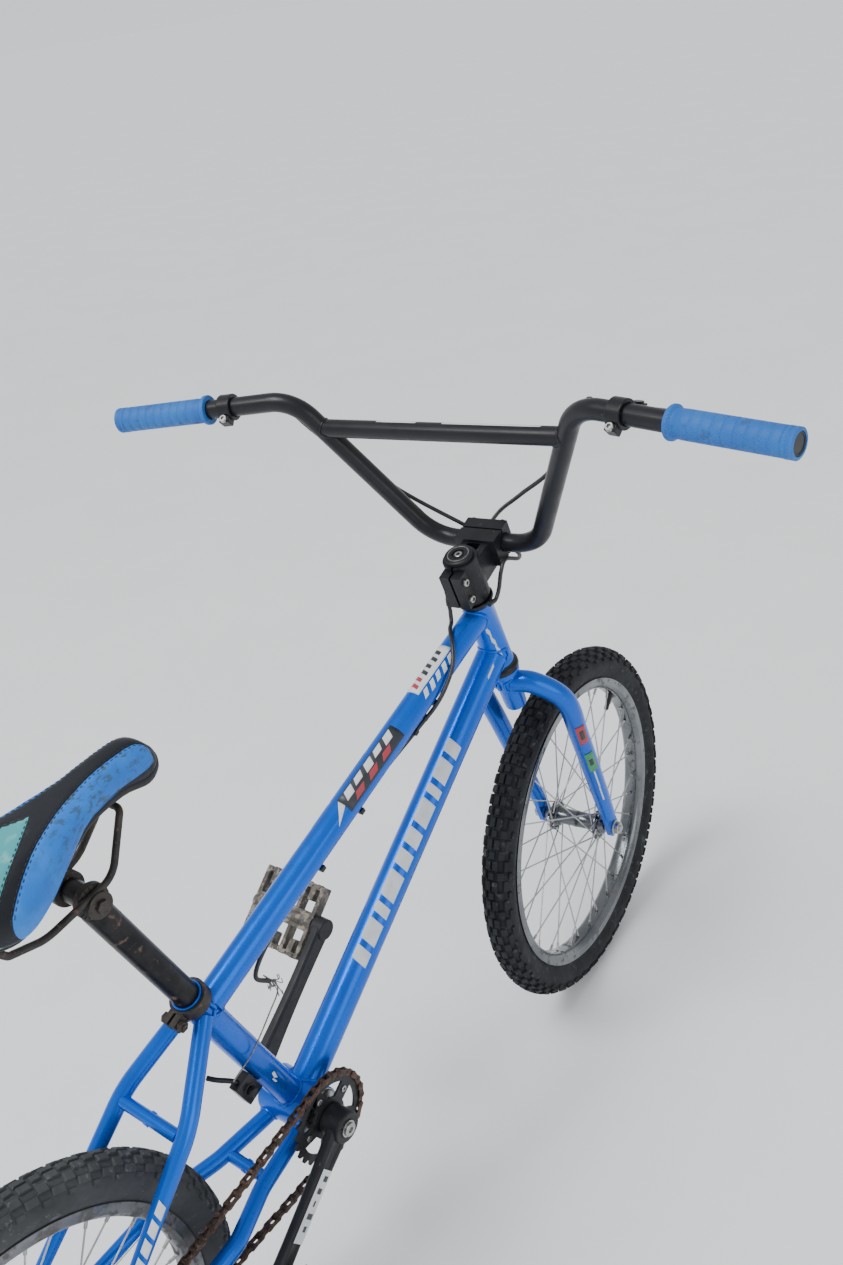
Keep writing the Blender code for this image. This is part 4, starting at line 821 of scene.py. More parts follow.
def make_bar():
    (left_shoulder, left_end), (right_shoulder, right_end) = bar_end(1), bar_end(-1)
    corners = [left_end, left_shoulder, (0, BAR_BASE, 0), (0, -BAR_BASE, 0), right_shoulder,
               right_end]
    path = rounded(corners, [0.050, 0.052, 0.052, 0.050], 14)
    bm = add_tube(bmesh.new(), path, BAR_RADIUS, 48, caps=False)
    for end, before in ((path[0], path[1]), (path[-1], path[-2])):
        add_tube(bm, [end, end.lerp(before, 0.25)], 0.0090, 32)
    reach = BAR_BASE + (BAR_SHOULDER - BAR_BASE) * CROSSBAR_RISE / BAR_RISE
    add_tube(bm, [(0, -reach, CROSSBAR_RISE), (0, reach, CROSSBAR_RISE)], CROSSBAR_RADIUS, 40)
    dress(new_object("bar_and_crossbar", bm, BAR), BLACK, "fork", ["handlebar"])
    profile = [(0.0115, 0.0010), (0.0140, 0.0010), (0.0150, 0.0002), (0.0150, -0.0040),
               (0.0143, -0.0046), (0.0143, -0.0062), (0.0150, -0.0068), (0.0150, -0.0100),
               (0.0141, -0.0108)]
    for k in range(9):
        h = -0.0120 - k * 0.0115
        profile += [(0.0147, h), (0.0147, h - 0.0096), (0.0142, h - 0.0102)]
    profile += [(r, h - GRIP_LENGTH) for r, h in (
        (0.0147, 0.0090), (0.0143, 0.0082), (0.0143, 0.0068), (0.0150, 0.0060),
        (0.0174, 0.0042), (0.0175, 0.0012), (0.0168, 0), (0.0115, 0))]
    plug = [(0.0001, -0.006), (0.0092, -0.006), (0.0092, 0.0004), (0.0110, 0.0004),
            (0.0110, -0.010), (0.0001, -0.010)]
    turn = spin(math.radians(90), "Y")
    for side_name, side in SIDES.items():
        base = BAR @ Vector((0, side * BAR_BASE, 0))
        shoulder = BAR @ Vector((0, side * BAR_SHOULDER, BAR_RISE))
        weld(f"weld_crossbar_{side_name}", BAR @ Vector((0, 0, CROSSBAR_RISE)),
             BAR @ Vector((0, side * reach, CROSSBAR_RISE)), CROSSBAR_RADIUS, base, shoulder,
             BAR_RADIUS, "fork", BLACK, 0.0016)
        at = grip_frame(side, BAR_HALF)
        dress(lathe(f"grip_{side_name}_rubber", profile, turn=turn, matrix=at, own_axes=True),
              GRIP, "fork", [f"grip_{side_name}"], sharp=50)
        dress(lathe(f"bar_end_{side_name}", plug, 48, turn=turn, matrix=at), PLASTIC, "fork")


def make_levers():
    for side_name, side in SIDES.items():
        at = (grip_frame(side, BRACKET_OUT[side_name])
              @ spin(-LEVER_DROP * side, "X"))

        def y(ahead, side=side):
            """The grip's own Y for a distance ahead of the bar."""
            return -side * ahead

        def bracket(bm):
            add_lathe(bm, [(0.0114, -0.0085), (0.0150, -0.0085), (0.0156, -0.0078),
                           (0.0156, 0.0078), (0.0150, 0.0085), (0.0114, 0.0085)], 56,
                      turn=spin(math.radians(90), "Y"))
            for z in (-0.0066, 0.0044):
                add_block(bm, (-0.006, y(0.018), z), (0.007, y(0.0355), z + 0.0024))
            add_block(bm, (-0.030, y(0.0135), -0.0062), (0.008, y(0.0245), 0.0062))
            add_rod(bm, (-0.030, y(0.019), 0), (-0.022, y(0.019), 0), 0.0060, 32)
            add_rod(bm, (-0.042, y(0.019), 0), (-0.030, y(0.019), 0), 0.0046, 24)
            for z in (-0.0088, 0.0064):
                add_rod(bm, (0, y(0.030), z), (0, y(0.030), z + 0.0024), 0.0056, 32)
        dress(joined(f"lever_clamp_{side_name}", bracket, at), BLACK, "fork",
              [f"lever_bracket_{side_name}"], bevel=0.0006)
        low_side = at @ spin(y(1.0), "X")
        lug = block(f"clamp_lug_{side_name}", (-0.0065, y(-0.0215), -0.0062),
                    (0.0065, y(-0.0130), 0.0062), low_side)
        dress(lug, BLACK, "fork", bevel=0.0010)
        bolt(f"clamp_bolt_{side_name}", low_side @ facing((0, y(-0.0178), 0.0060), (0, 0, 1)),
             "fork", 0.0046, 0.0034)

        def blade(bm):
            path = smooth([(0.002, 0, 0), (0.018, y(0.006), 0), (0.045, y(0.012), 0),
                           (0.078, y(0.012), 0), (0.100, y(0.017), 0)], 10)
            swell = [1.0 + 0.12 * math.sin(k * 0.16) for k in range(len(path))]
            add_tube(bm, path, 0.0037, 20, swell)
            add_rod(bm, (0, 0, -0.0036), (0, 0, 0.0036), 0.0062, 32)
            bmesh.ops.create_uvsphere(bm, u_segments=24, v_segments=14, radius=0.0058,
                                      matrix=move(0.100, y(0.017), 0))
        lever = f"brake_lever_{side_name}"
        dress(joined(f"lever_blade_{side_name}", blade, at @ move(0, y(0.030), 0)), PLASTIC,
              lever, [lever], bevel=0.0004)


CABLE_ROUTES = {
    "left": [(0.062, 0.190, 0.662), (0.070, 0.161, 0.625), (0.070, 0.108, 0.574),
             (0.076, 0.044, 0.524), (0.080, 0.012, 0.500), (0.079, -0.020, 0.482),
             (0.060, -0.034, 0.489), (0.040, -0.031, 0.505), (0.024, -0.031, 0.500),
             (0.012, -0.029, 0.484), (0.000, -0.028, 0.477), (-0.012, -0.027, 0.481)],
    "right": [(0.066, -0.117, 0.628), (0.068, -0.061, 0.582), (0.081, -0.018, 0.545),
              (0.091, 0.012, 0.512), (0.087, 0.034, 0.482), (0.055, 0.044, 0.470),
              (0.015, 0.036, 0.479), (-0.010, 0.028, 0.494), (-0.021, 0.0205, 0.497),
              (-0.0262, 0.0193, 0.4865)]}
CABLE_ON_FRAME = [
    (0.2768, 0.0050, 0.6800), (0.2598, -0.0095, 0.6720), (0.2481, -0.0172, 0.6602),
    (0.2380, -0.0196, 0.6495), (0.2227, -0.0190, 0.6345), (0.2060, -0.0150, 0.6200),
    (0.1800, -0.0080, 0.6052), (0.1000, 0.0000, 0.5760), (0.0000, 0.0000, 0.5408),
    (-0.0800, 0.0000, 0.5100), (-0.1180, -0.0020, 0.4830), (-0.1060, -0.0060, 0.4650)]
WIRE_ROUTE = [(-0.1100, -0.0040, 0.4760), (-0.1000, -0.0080, 0.4520), (-0.1250, -0.0150, 0.4390),
              (-0.1600, -0.0190, 0.4190), (-0.1880, -0.0150, 0.4030)]


def make_cables():
    for side_name, side in SIDES.items():
        at = grip_frame(side, BRACKET_OUT[side_name]) @ spin(-LEVER_DROP * side, "X")
        start = [at @ Vector((x, -side * 0.019, 0)) for x in (-0.0420, -0.0560)]
        route = start + [STEERING @ Vector(p) for p in CABLE_ROUTES[side_name]]
        bm = add_tube(bmesh.new(), smooth(route), CABLE_RADIUS, 16)
        tip = (route[-1] - route[-2]).normalized()
        add_rod(bm, route[-1] - tip * 0.008, route[-1] + tip * 0.0006, 0.0031, 20)
        dress(new_object(f"brake_cable_{side_name}_housing", bm), CABLE, "fork",
              [f"brake_cable_{side_name}"])
    head_part = [head_point(0.4785, -0.0300, 0.0160), head_point(0.4685, -0.0380, 0.0130)]
    route = head_part + [Vector(p) for p in CABLE_ON_FRAME]
    dress(tube("rear_cable_housing", smooth(route), CABLE_RADIUS, 16), CABLE, "frame",
          ["rear_brake_cable"])
    link_path = smooth([STEERING @ Vector((-0.0238, 0.0197, 0.4925)),
                        STEERING @ Vector((-0.0262, 0.0193, 0.4865)),
                        head_point(0.4785, -0.0300, 0.0160),
                        head_point(0.4735, -0.0340, 0.0146)], 6)
    link = tube("cable_bridge", link_path, 0.00235, 16)
    link.data.materials.append(CABLE)
    link.data.shade_smooth()
    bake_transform(link)
    dress(tube("bare_wire_run", smooth(WIRE_ROUTE), 0.0008, 10), WIRE, "frame")

    def frayed(bm):
        for k in range(9):
            a = k * 2.4
            root = Vector((-0.1080, -0.0050, 0.4680))
            reach = 0.012 + 0.0016 * (k % 4)
            mid = root + Vector((0.006 + 0.003 * math.cos(a), 0.004 * math.sin(a), -0.008))
            end = root + Vector((0.008 + reach * 0.6 * math.cos(a), reach * 0.5 * math.sin(a),
                                 -0.012 - 0.4 * reach + 0.006 * math.cos(2 * a)))
            add_tube(bm, smooth([root, mid, end, end + Vector((0.001, 0.001, 0.005))], 5),
                     0.0005, 6)
        for k in range(3):
            centre = Vector((-0.1030, -0.0060, 0.4600))
            ring = [centre + 0.0042 * Vector((math.cos(t) * math.cos(k),
                                              math.cos(t) * math.sin(k), math.sin(t)))
                    for t in circle(20)]
            add_tube(bm, ring, 0.0005, 6, closed=True)
    dress(joined("frayed_wire_end", frayed), WIRE, "frame")


# ------------------------------------------------------------------ wheels
def add_knob(bm, theta, phi, width, length, base, top):
    """One tread block on the section circle, tapering upwards. Angles in radians."""
    middle = WHEEL_RADIUS - TYRE_HALF
    rings = []
    for reach, shrink in ((base, 1.12), (top - 0.0008, 1.0), (top, 0.86)):
        ring = []
        for su, sv in ((-1, -1), (1, -1), (1, 1), (-1, 1)):
            lateral = phi + su * shrink * width / 2 / top
            r = middle + reach * math.cos(lateral)
            turn = theta + sv * shrink * length / 2 / r
            ring.append(bm.verts.new((r * math.cos(turn), reach * math.sin(lateral),
                                      r * math.sin(turn))))
        rings.append(ring)
    bridge(bm, rings, False)
    bm.faces.new(rings[-1])


def make_tyre(which, matrix, body, mat, height):
    """A ribbed open casing with rows of tread blocks of a height."""
    middle = WHEEL_RADIUS - TYRE_HALF
    casing = TYRE_HALF - height
    outer = []
    for k in range(33):
        a = math.radians(122 - 244 * k / 32)
        rib = 0.0004 if k in (4, 5, 27, 28) else 0.0
        outer.append((middle + (casing + rib) * math.cos(a), (casing + rib) * math.sin(a)))
    bead = [(0.2089, 0.0128), (0.2030, 0.0125), (0.2030, 0.0095)]
    inner = [(middle + 0.0185 * math.cos(a), 0.0185 * math.sin(a)) for a in
             (math.radians(-146 + 292 * k / 16) for k in range(17))]
    profile = outer + [(r, -h) for r, h in bead] + inner + bead[::-1]

    def build(bm):
        add_lathe(bm, profile, 144, turn=AXLE)
        half = math.pi / TREAD_PITCHES
        rows = [(shift, side * phi, width, length, drop) for side in (-1, 1)
                for shift, phi, width, length, drop in (
                    (0, 0.21, 0.0078, 0.0125, 0), (half, 0.55, 0.0084, 0.0105, 0),
                    (0, 0.88, 0.0074, 0.0130, 0.0002), (half, 1.16, 0.0050, 0.0085, 0.0010))]
        rows.append((half, 0.0, 0.0070, 0.0090, 0))
        for t in circle(TREAD_PITCHES):
            for shift, phi, width, length, drop in rows:
                add_knob(bm, t + shift, phi, width, length, casing - 0.001, TYRE_HALF - drop)
    obj = joined(f"{which}_tyre_tread", build, matrix)
    dress(obj, mat, body, [f"{which}_tyre"], sharp=30)


def flange(at):
    """A spoke flange's edge in a hub profile."""
    return [(0.0216, at + 0.0016), (0.0225, at + 0.0008), (0.0225, at - 0.0008),
            (0.0216, at - 0.0016)]


def make_wheel(which, matrix, body, flanges, end_half, rim_mat, tyre_mat, knob, boss=None):
    """A wheel with its flanges at two places along the hub; boss is the thread radius of a
    driven hub."""
    make_tyre(which, matrix, body, tyre_mat, knob)
    rim = [(0.2085, 0.0146), (0.2081, 0.0150), (0.2010, 0.0150), (0.1996, 0.0146),
           (0.1978, 0.0149), (0.1950, 0.0128), (0.1925, 0.0098), (0.1916, 0.0060),
           (0.1915, -0.0060), (0.1925, -0.0098), (0.1950, -0.0128), (0.1978, -0.0149),
           (0.1996, -0.0146), (0.2010, -0.0150), (0.2081, -0.0150), (0.2085, -0.0146),
           (0.2085, -0.0136), (0.2060, -0.0131), (0.2016, -0.0129), (0.2014, 0.0129),
           (0.2060, 0.0131), (0.2085, 0.0136)]
    dress(lathe(f"{which}_rim_shell", rim, 160, turn=AXLE, matrix=matrix), rim_mat, body,
          [f"{which}_rim"])
    left, right = flanges
    ends = 0.0085
    profile = [(ends, end_half), (0.0108, end_half - 0.002), (0.0125, left + 0.004),
               (0.0130, left + 0.0026), *flange(left), (0.0132, left - 0.0030),
               (0.0116, left - 0.0060), (0.0115, 0.004), (0.0120, 0.003), (0.0120, -0.001),
               (0.0115, -0.002), (0.0116, right + 0.0060), (0.0132, right + 0.0030),
               *flange(right)]
    if boss:
        profile += [(boss, right - 0.0026), (boss, -0.0425), (0.0085, -0.0427), (ends, -end_half)]
    else:
        profile += [(0.0130, right - 0.0026), (0.0125, right - 0.004), (0.0108, -end_half + 0.002),
                    (ends, -end_half)]
    profile += [(0.0052, -end_half), (0.0052, end_half)]
    dress(lathe(f"{which}_hub_shell", profile, 64, turn=AXLE, matrix=matrix), CHROME, body,
          [f"{which}_hub"])

    spokes, nipples = bmesh.new(), bmesh.new()
    for k, rim_angle in enumerate(circle(SPOKE_COUNT)):
        centre = left if k % 2 == 0 else right
        outside = 1 if (k // 2) % 2 == 0 else -1
        hub_angle = rim_angle - outside * math.radians(60)
        away = math.copysign(1, centre)
        y = centre + away * (0.0040 if outside > 0 else -0.0032)
        start = Vector((HUB_HOLES * math.cos(hub_angle), y, HUB_HOLES * math.sin(hub_angle)))
        end = Vector((RIM_HOLES * math.cos(rim_angle), away * 0.002,
                      RIM_HOLES * math.sin(rim_angle)))
        other = centre - away * (0.0026 if outside > 0 else -0.0022)
        bend = Vector((start.x, other, start.z))
        add_tube(spokes, [bend, start.lerp(bend, 0.25), start, start.lerp(end, 0.02), end],
                 0.0010, 10)
        run = (end - start).normalized()
        head = bend + Vector((0, math.copysign(0.0007, other - y), 0))
        add_tube(spokes, [bend, head], 0.0019, 12)
        add_tube(nipples, [end - run * 0.0085, end - run * 0.008, end - run * 0.002,
                           end + run * 0.0012], 0.0019, 10, [0.72, 1.0, 1.0, 1.25])
    dress(new_object(f"{which}_spoke_set", spokes, matrix), SPOKE, body, [f"{which}_spokes"])
    dress(new_object(f"{which}_nipples", nipples, matrix), STEEL, body)
    a = math.radians(205 if which == "rear" else 25)
    out = Vector((math.cos(a), 0, math.sin(a)))

    def valve(bm):
        add_tube(bm, [out * 0.1925, out * 0.1880, out * 0.1770, out * 0.1680, out * 0.1665],
                 0.0036, 20, [1.25, 1.0, 0.92, 0.95, 0.55])
    dress(joined(f"{which}_valve", valve, matrix), PLASTIC, body)


# ------------------------------------------------------------------ drive
def belt_points(big, small, distance, count):
    """Evenly spaced points round two circles: the big one at the origin, the small one at -x."""
    start = math.pi - math.acos((big - small) / distance)
    run = math.sqrt(distance ** 2 - (big - small) ** 2)
    round_big, round_small = 2 * start * big, (2 * math.pi - 2 * start) * small

    def on_big(a):
        return Vector((big * math.cos(a), big * math.sin(a)))

    def on_small(a):
        return Vector((small * math.cos(a) - distance, small * math.sin(a)))
    points = []
    for k in range(count):
        s = (round_big + round_small + 2 * run) * k / count
        if s < round_big:
            points.append(on_big(start - s / big))
        elif s < round_big + run:
            points.append(on_big(-start).lerp(on_small(-start), (s - round_big) / run))
        elif s < round_big + run + round_small:
            points.append(on_small(-start - (s - round_big - run) / small))
        else:
            share = (s - round_big - run - round_small) / run
            points.append(on_small(start).lerp(on_big(start), share))
    return points


def add_link_plate(bm, a, b, low, high):
    """A waisted side plate between two pins, in the XZ plane."""
    a, b = Vector((a[0], 0, a[1])), Vector((b[0], 0, b[1]))
    run = (b - a).normalized()
    up = Vector((-run.z, 0, run.x))
    half = (b - a).length / 2
    middle = (a + b) / 2
    outline = []
    for sign in (1, -1):
        for k in range(7):
            t = math.radians(-75 + 150 * k / 6)
            outline.append(middle + sign * (run * (half + LINK_END * math.cos(t))
                                            + up * LINK_END * math.sin(t)))
        outline.append(middle + sign * up * LINK_WAIST)
    bridge(bm, [[bm.verts.new(p + Vector((0, y, 0))) for p in outline] for y in (low, high)])


def toothed(teeth, steps):
    """An outline that repeats its steps of (share of a tooth, radius) for each tooth."""
    outline = []
    for k in range(teeth):
        for share, radius in steps:
            a = 2 * math.pi * (k + share) / teeth
            outline.append((radius * math.cos(a), radius * math.sin(a)))
    return outline


def make_drive():
    axle = Vector((-HALF_WHEELBASE, 0, WHEEL_RADIUS))
    distance = (BB_AT - axle).length
    slope = math.atan2(BB_AT.z - axle.z, BB_AT.x - axle.x)
    ring_pitch, cog_pitch = (CHAIN_PITCH / (2 * math.sin(math.pi / teeth))
                             for teeth in (RING_TEETH, COG_TEETH))
    points = belt_points(ring_pitch, cog_pitch, distance, CHAIN_LINKS)
    plane = BB @ spin(-slope, "Y") @ move(0, -CHAINLINE, 0)

    def links(bm):
        for k, a in enumerate(points):
            b = points[(k + 1) % len(points)]
            inner = k % 2 == 0
            gaps = (0.0017, 0.0027) if inner else (0.0029, 0.0039)
            add_link_plate(bm, a, b, gaps[0], gaps[1])
            add_link_plate(bm, a, b, -gaps[1], -gaps[0])
            add_rod(bm, (a[0], -0.0017, a[1]), (a[0], 0.0017, a[1]), 0.0037, 14)
            add_rod(bm, (a[0], -0.0043, a[1]), (a[0], 0.0043, a[1]), 0.0018, 12)
    dress(joined("roller_chain", links, plane), CHAIN, "frame", ["chain"], sharp=30)

    tip, root = ring_pitch + 0.0016, ring_pitch - 0.0026
    outline = toothed(RING_TEETH, (
        (-0.30, root), (-0.12, tip - 0.0006), (-0.07, tip), (0.07, tip), (0.12, tip - 0.0006),
        (0.30, root), (0.40, root - 0.0008), (0.60, root - 0.0008)))
    windows = []
    for k in range(5):
        middle = 72 * k + 36
        windows.append(arc(0.0405, middle - 24, middle + 24, 14)
                       + arc(0.0235, middle + 16, middle - 16, 8))
    centre = arc(0.0100, 0, 352.5, 47)
    ring = plate("chainring_disc", [outline, centre, *windows], 0.0028,
                 CRANK @ move(0, -CHAINLINE, 0) @ FLAT)
    dress(ring, CRANK_BLACK, "crank", ["chainring"], bevel=0.0004, sharp=25)
    for k, a in enumerate(circle(5)):
        bolt(f"ring_bolt_{k}", CRANK @ facing((0.033 * math.cos(a), -CHAINLINE - 0.0012,
                                               0.033 * math.sin(a)), (0, -1, 0)), "crank",
             0.0036, 0.0018)

    tip, root = cog_pitch + 0.0016, cog_pitch - 0.0030
    outline = toothed(COG_TEETH, ((-0.30, root), (-0.09, tip), (0.09, tip), (0.30, root),
                                  (0.50, root - 0.0008)))
    cog = plate("freewheel_cog", [outline, arc(0.0112, 0, 350, 35)], 0.0028,
                REAR @ move(0, -CHAINLINE, 0) @ FLAT)
    dress(cog, CHAIN, "freewheel", ["freewheel"], bevel=0.0003, sharp=25, slot="bare_steel")
    body = [(0.0111, -0.0482), (0.0124, -0.0484), (0.0126, -0.0479), (0.0131, -0.0479),
            (0.0133, -0.0484), (0.0140, -0.0482), (0.0144, -0.0474), (0.0144, -0.0350),
            (0.0138, -0.0338), (0.0111, -0.0337)]
    dress(lathe("freewheel_body", body, 64, turn=AXLE, matrix=REAR), STEEL, "freewheel")
    spindle = [(0.0030, 0.0770), (0.0034, 0.0788), (0.0070, 0.0790), (0.0078, 0.0782),
               (0.0078, 0.0760), (0.0095, 0.0757)]
    spindle += mirrored(spindle)
    dress(lathe("spindle_and_bolts", spindle, 48, closed=False, turn=AXLE, matrix=CRANK), STEEL,
          "crank", ["crank_spindle"])
    for side_name, side in SIDES.items():
        make_arm(side_name, side)
        make_pedal(side_name, side)
    dress(lathe("rear_axle_nuts", axle_profile(0.0740, (0.0459, 0.0550), (0.0607, 0.0700)), 48,
                closed=False, turn=AXLE, matrix=REAR), STEEL, "frame", ["rear_axle"])


def make_arm(side_name, side):
    """The arm's section swells at both ends and has a shallow channel down its outer face."""
    def build(bm):
        rings = []
        steps = 28
        for k in range(steps + 1):
            t = k / steps
            x = t * CRANK_LENGTH
            half = 0.0165 - 0.004 * t - 0.0040 * math.sin(math.pi * t)
            thick = 0.0068 - 0.0008 * t
            y = 0.0640 + 0.011 * t
            channel = 0.0018 * min(1.0, 6 * min(t, 1 - t)) if 0.08 < t < 0.92 else 0.0
            section = [(-half, -thick * 0.55), (-half * 0.8, -thick), (half * 0.8, -thick),
                       (half, -thick * 0.55), (half, thick * 0.6), (half * 0.75, thick),
                       (half * 0.45, thick - channel * 0.2), (half * 0.35, thick - channel),
                       (-half * 0.35, thick - channel), (-half * 0.45, thick - channel * 0.2),
                       (-half * 0.75, thick), (-half, thick * 0.6)]
            rings.append([bm.verts.new((side * x, side * (y + b), a)) for a, b in section])
        bridge(bm, rings)
        foot = 0.0535 if side > 0 else CHAINLINE + 0.0020
        boss = [(0.0098, foot), (0.0170, foot), (0.0180, foot + 0.001), (0.0180, 0.0730),
                (0.0168, 0.0745), (0.0098, 0.0745)]
        add_lathe(bm, [(r, side * h) for r, h in boss], 56, turn=AXLE)
        end = (side * CRANK_LENGTH, side, 0)
        add_disc(bm, end, (0.0665, 0.0675, 0.0822, 0.0830), 0.0128, 40, [0.93, 1.0, 1.0, 0.93])
        add_disc(bm, end, (0.0800, 0.0865, 0.0866, 0.1770), 0.0070, 24, [1.0, 1.0, 0.68, 0.66])
    dress(joined(f"crank_{side_name}_forging", build, CRANK), CRANK_BLACK, "crank",
          [f"crank_arm_{side_name}"], bevel=0.0007)


def make_pedal(side_name, side):
    """A flat cage with windows, its spindle tube, pins and studs along its edges."""
    at = (CRANK @ move(side * CRANK_LENGTH, 0, 0)
          @ spin(PEDAL_TILT[side_name] - CRANK_ANGLE, "Y"))
    inner, outer = 0.0865, 0.1820
    pedal = f"pedal_{side_name}"
    edge, near, far = PEDAL_HALF - 0.0002, 0.0115, PEDAL_HALF - 0.0060
    outlines = [[(x, side * y) for x, y in ((-edge, inner), (edge, inner), (edge, outer),
                                            (-edge, outer))]]
    for start, end in ((inner + 0.006, 0.1130), (0.1180, 0.1505), (0.1555, outer - 0.006)):
        low, high = (start + end) / 2 - 0.004, (start + end) / 2 + 0.004
        window = [(near, start), (far, start), (far, low), (near + 0.013, low),
                  (near + 0.013, high), (far, high), (far, end), (near, end)]
        outlines += [[(sign * x, side * y) for x, y in window] for sign in (-1, 1)]
    cage = plate(f"pedal_cage_{side_name}", outlines, 0.0144, at)
    dress(cage, PEDAL, pedal, [pedal], bevel=0.0011)

    def details(bm):
        add_disc(bm, (0, side, 0), (inner, inner + 0.001, outer - 0.0008, outer), 0.0098, 36,
                 [0.92, 1.0, 1.0, 0.92])
        for k in range(8):
            y = inner + 0.008 + k * 0.0113
            for x in (-PEDAL_HALF + 0.003, PEDAL_HALF - 0.003):
                for z, up in ((0.0070, 1), (-0.0070, -1)):
                    add_rod(bm, (x, side * y, z), (x, side * y, z + up * 0.0018), 0.0016, 10,
                            0.0010)
        for x in (-PEDAL_HALF, PEDAL_HALF):
            for k in range(5):
                y = inner + 0.012 + k * 0.0178
                add_tube(bm, [(x - math.copysign(0.001, x), side * y, 0),
                              (x + math.copysign(0.0006, x), side * y, 0)], 0.0042, 20)
    dress(joined(f"pedal_details_{side_name}", details, at), PEDAL, pedal)


# ------------------------------------------------------------------ saddle
SADDLE_STATIONS = [
    (0.1122, 0.006, 0.0700, 0.0840), (0.1062, 0.014, 0.0620, 0.0934),
    (0.0902, 0.022, 0.0580, 0.1090), (0.0612, 0.024, 0.0640, 0.1084),
    (0.0192, 0.032, 0.0620, 0.1014), (-0.0188, 0.048, 0.0484, 0.0954),
    (-0.0538, 0.064, 0.0354, 0.0924), (-0.0838, 0.074, 0.0314, 0.0934),
    (-0.1138, 0.072, 0.0434, 0.0994), (-0.1338, 0.050, 0.0584, 0.1014),
    (-0.1398, 0.030, 0.0734, 0.0974)]
SPLIT_X = -0.017                         # where the dark band parts round the teal wedge
WEDGE_SLOPE = 0.75
BAND_HALF = 0.0105
BAND_START, BAND_GROWTH, BAND_POWER = 0.055, 3.893, 2.18
SWELLING = 0.0030
SEAM_DEPTH, SEAM_WIDTH, STITCH_SHIFT = 0.0011, 0.0018, 0.0014
CELL = 0.005                             # squares that sort the seams' points


def wedge_edge(x):
    """Half width of the teal wedge at x."""
    return WEDGE_SLOPE * max(SPLIT_X - x, 0.0)


def band_edge(x):
    """Half width of the dark band at x."""
    return BAND_HALF + BAND_GROWTH * max(BAND_START - x, 0.0) ** BAND_POWER


def saddle_material():
    made = Recipe("saddle_vinyl", rough=0.5)
    made.shader.inputs["Specular IOR Level"].default_value = 0.3
    x, y, z = made.axes()
    off = made.math("ABSOLUTE", y)

    def behind(start):
        return made.math("MAXIMUM", made.math("SUBTRACT", start, x), 0.0)
    wedge = made.math("MULTIPLY", behind(SPLIT_X), WEDGE_SLOPE)
    growth = made.math("MULTIPLY", made.math("POWER", behind(BAND_START), BAND_POWER), BAND_GROWTH)
    band = made.math("ADD", growth, BAND_HALF)
    in_wedge = made.ramp(made.math("SUBTRACT", wedge, off), 0.0, 0.0006)
    in_band = made.ramp(made.math("SUBTRACT", band, off), -0.0003, 0.0003)
    nose = made.math("MAXIMUM", made.ramp(x, 0.1000, 0.1006),
                     made.math("MULTIPLY", made.ramp(x, 0.030, 0.060),
                               made.ramp(z, 0.0800, 0.0790)))
    in_band = made.math("MAXIMUM", in_band, nose)
    blue = made.mix(made.ramp(made.noise(18), 0.35, 0.65), (0.012, 0.155, 0.600),
                    (0.024, 0.215, 0.700))
    scuff = made.math("MULTIPLY", made.ramp(made.noise(110, 10, 0.75, (1, 1, 2)), 0.51, 0.58),
                      made.ramp(x, -0.070, 0.010))
    blue = made.mix(scuff, blue, (0.045, 0.11, 0.21))
    dark = made.mix(made.ramp(made.noise(45, 8), 0.55, 0.75), (0.007, 0.009, 0.013),
                    (0.028, 0.034, 0.045))
    teal = made.mix(made.ramp(made.noise(50, 8), 0.50, 0.70), TEAL, (0.16, 0.46, 0.46))
    made.colour(made.mix(in_wedge, made.mix(in_band, blue, dark), teal))
    leather = made.tree.nodes.new("ShaderNodeTexVoronoi")
    leather.inputs["Scale"].default_value = 620
    made.link(made.place, leather.inputs["Vector"])
    made.bump(leather.outputs["Distance"], 0.35, 0.0003)
    made.bump(made.noise(90, 6), 0.25, 0.0005)
    made.rough(made.ramp(made.noise(40), 0.3, 0.7, 0.42, 0.62))
    return made.material


def superellipse(half_width, low, high, power=2.6):
    """A rounded section of (y, z) between two heights."""
    middle, half = (low + high) / 2, (high - low) / 2
    points = []
    for a in circle(40):
        c, s = math.cos(a), math.sin(a)
        points.append((half_width * math.copysign(abs(c) ** (2 / power), c),
                       middle + half * math.copysign(abs(s) ** (2 / power), s)))
    return points


def loft(name, sections, matrix, own_axes=False):
    """A skin over sections of (x, points in YZ)."""
    return joined(name, lambda bm: bridge(bm, [[bm.verts.new((x, y, z)) for y, z in points]
                                               for x, points in sections]), matrix, own_axes)


def station_curve(stations, per_span):
    """The stations drawn out into a smooth run of (x, half width, low, high)."""
    values = [(Vector((x, half, low)), high) for x, half, low, high in stations]
    spine = smooth([v for v, _ in values], per_span)
    tops = smooth([Vector((high, 0, 0)) for _, high in values], per_span)
    return [(p.x, max(p.y, 0.004), p.z, t.x) for p, t in zip(spine, tops)]


def remesh(obj):
    step = obj.modifiers.new("remesh", "REMESH")
    step.mode = "VOXEL"
    step.voxel_size = 0.004
    bake(obj)


def puff(obj):
    """Blows the cover up a little as cloth and keeps the swelling small."""
    rest = [v.co.copy() for v in obj.data.vertices]
    cloth = obj.modifiers.new("cloth", "CLOTH")
    cloth.settings.quality = 6
    cloth.settings.mass = 0.4
    cloth.settings.use_pressure = True
    cloth.settings.uniform_pressure_force = 4.0
    cloth.settings.effector_weights.gravity = 0.0
    cloth.collision_settings.use_collision = False
    scene = bpy.context.scene
    for number in range(1, 15):
        scene.frame_set(number)
    bake(obj)
    scene.frame_set(1)
    for vertex, before in zip(obj.data.vertices, rest):
        moved = vertex.co - before
        if moved.length > SWELLING:
            vertex.co = before + moved.normalized() * SWELLING


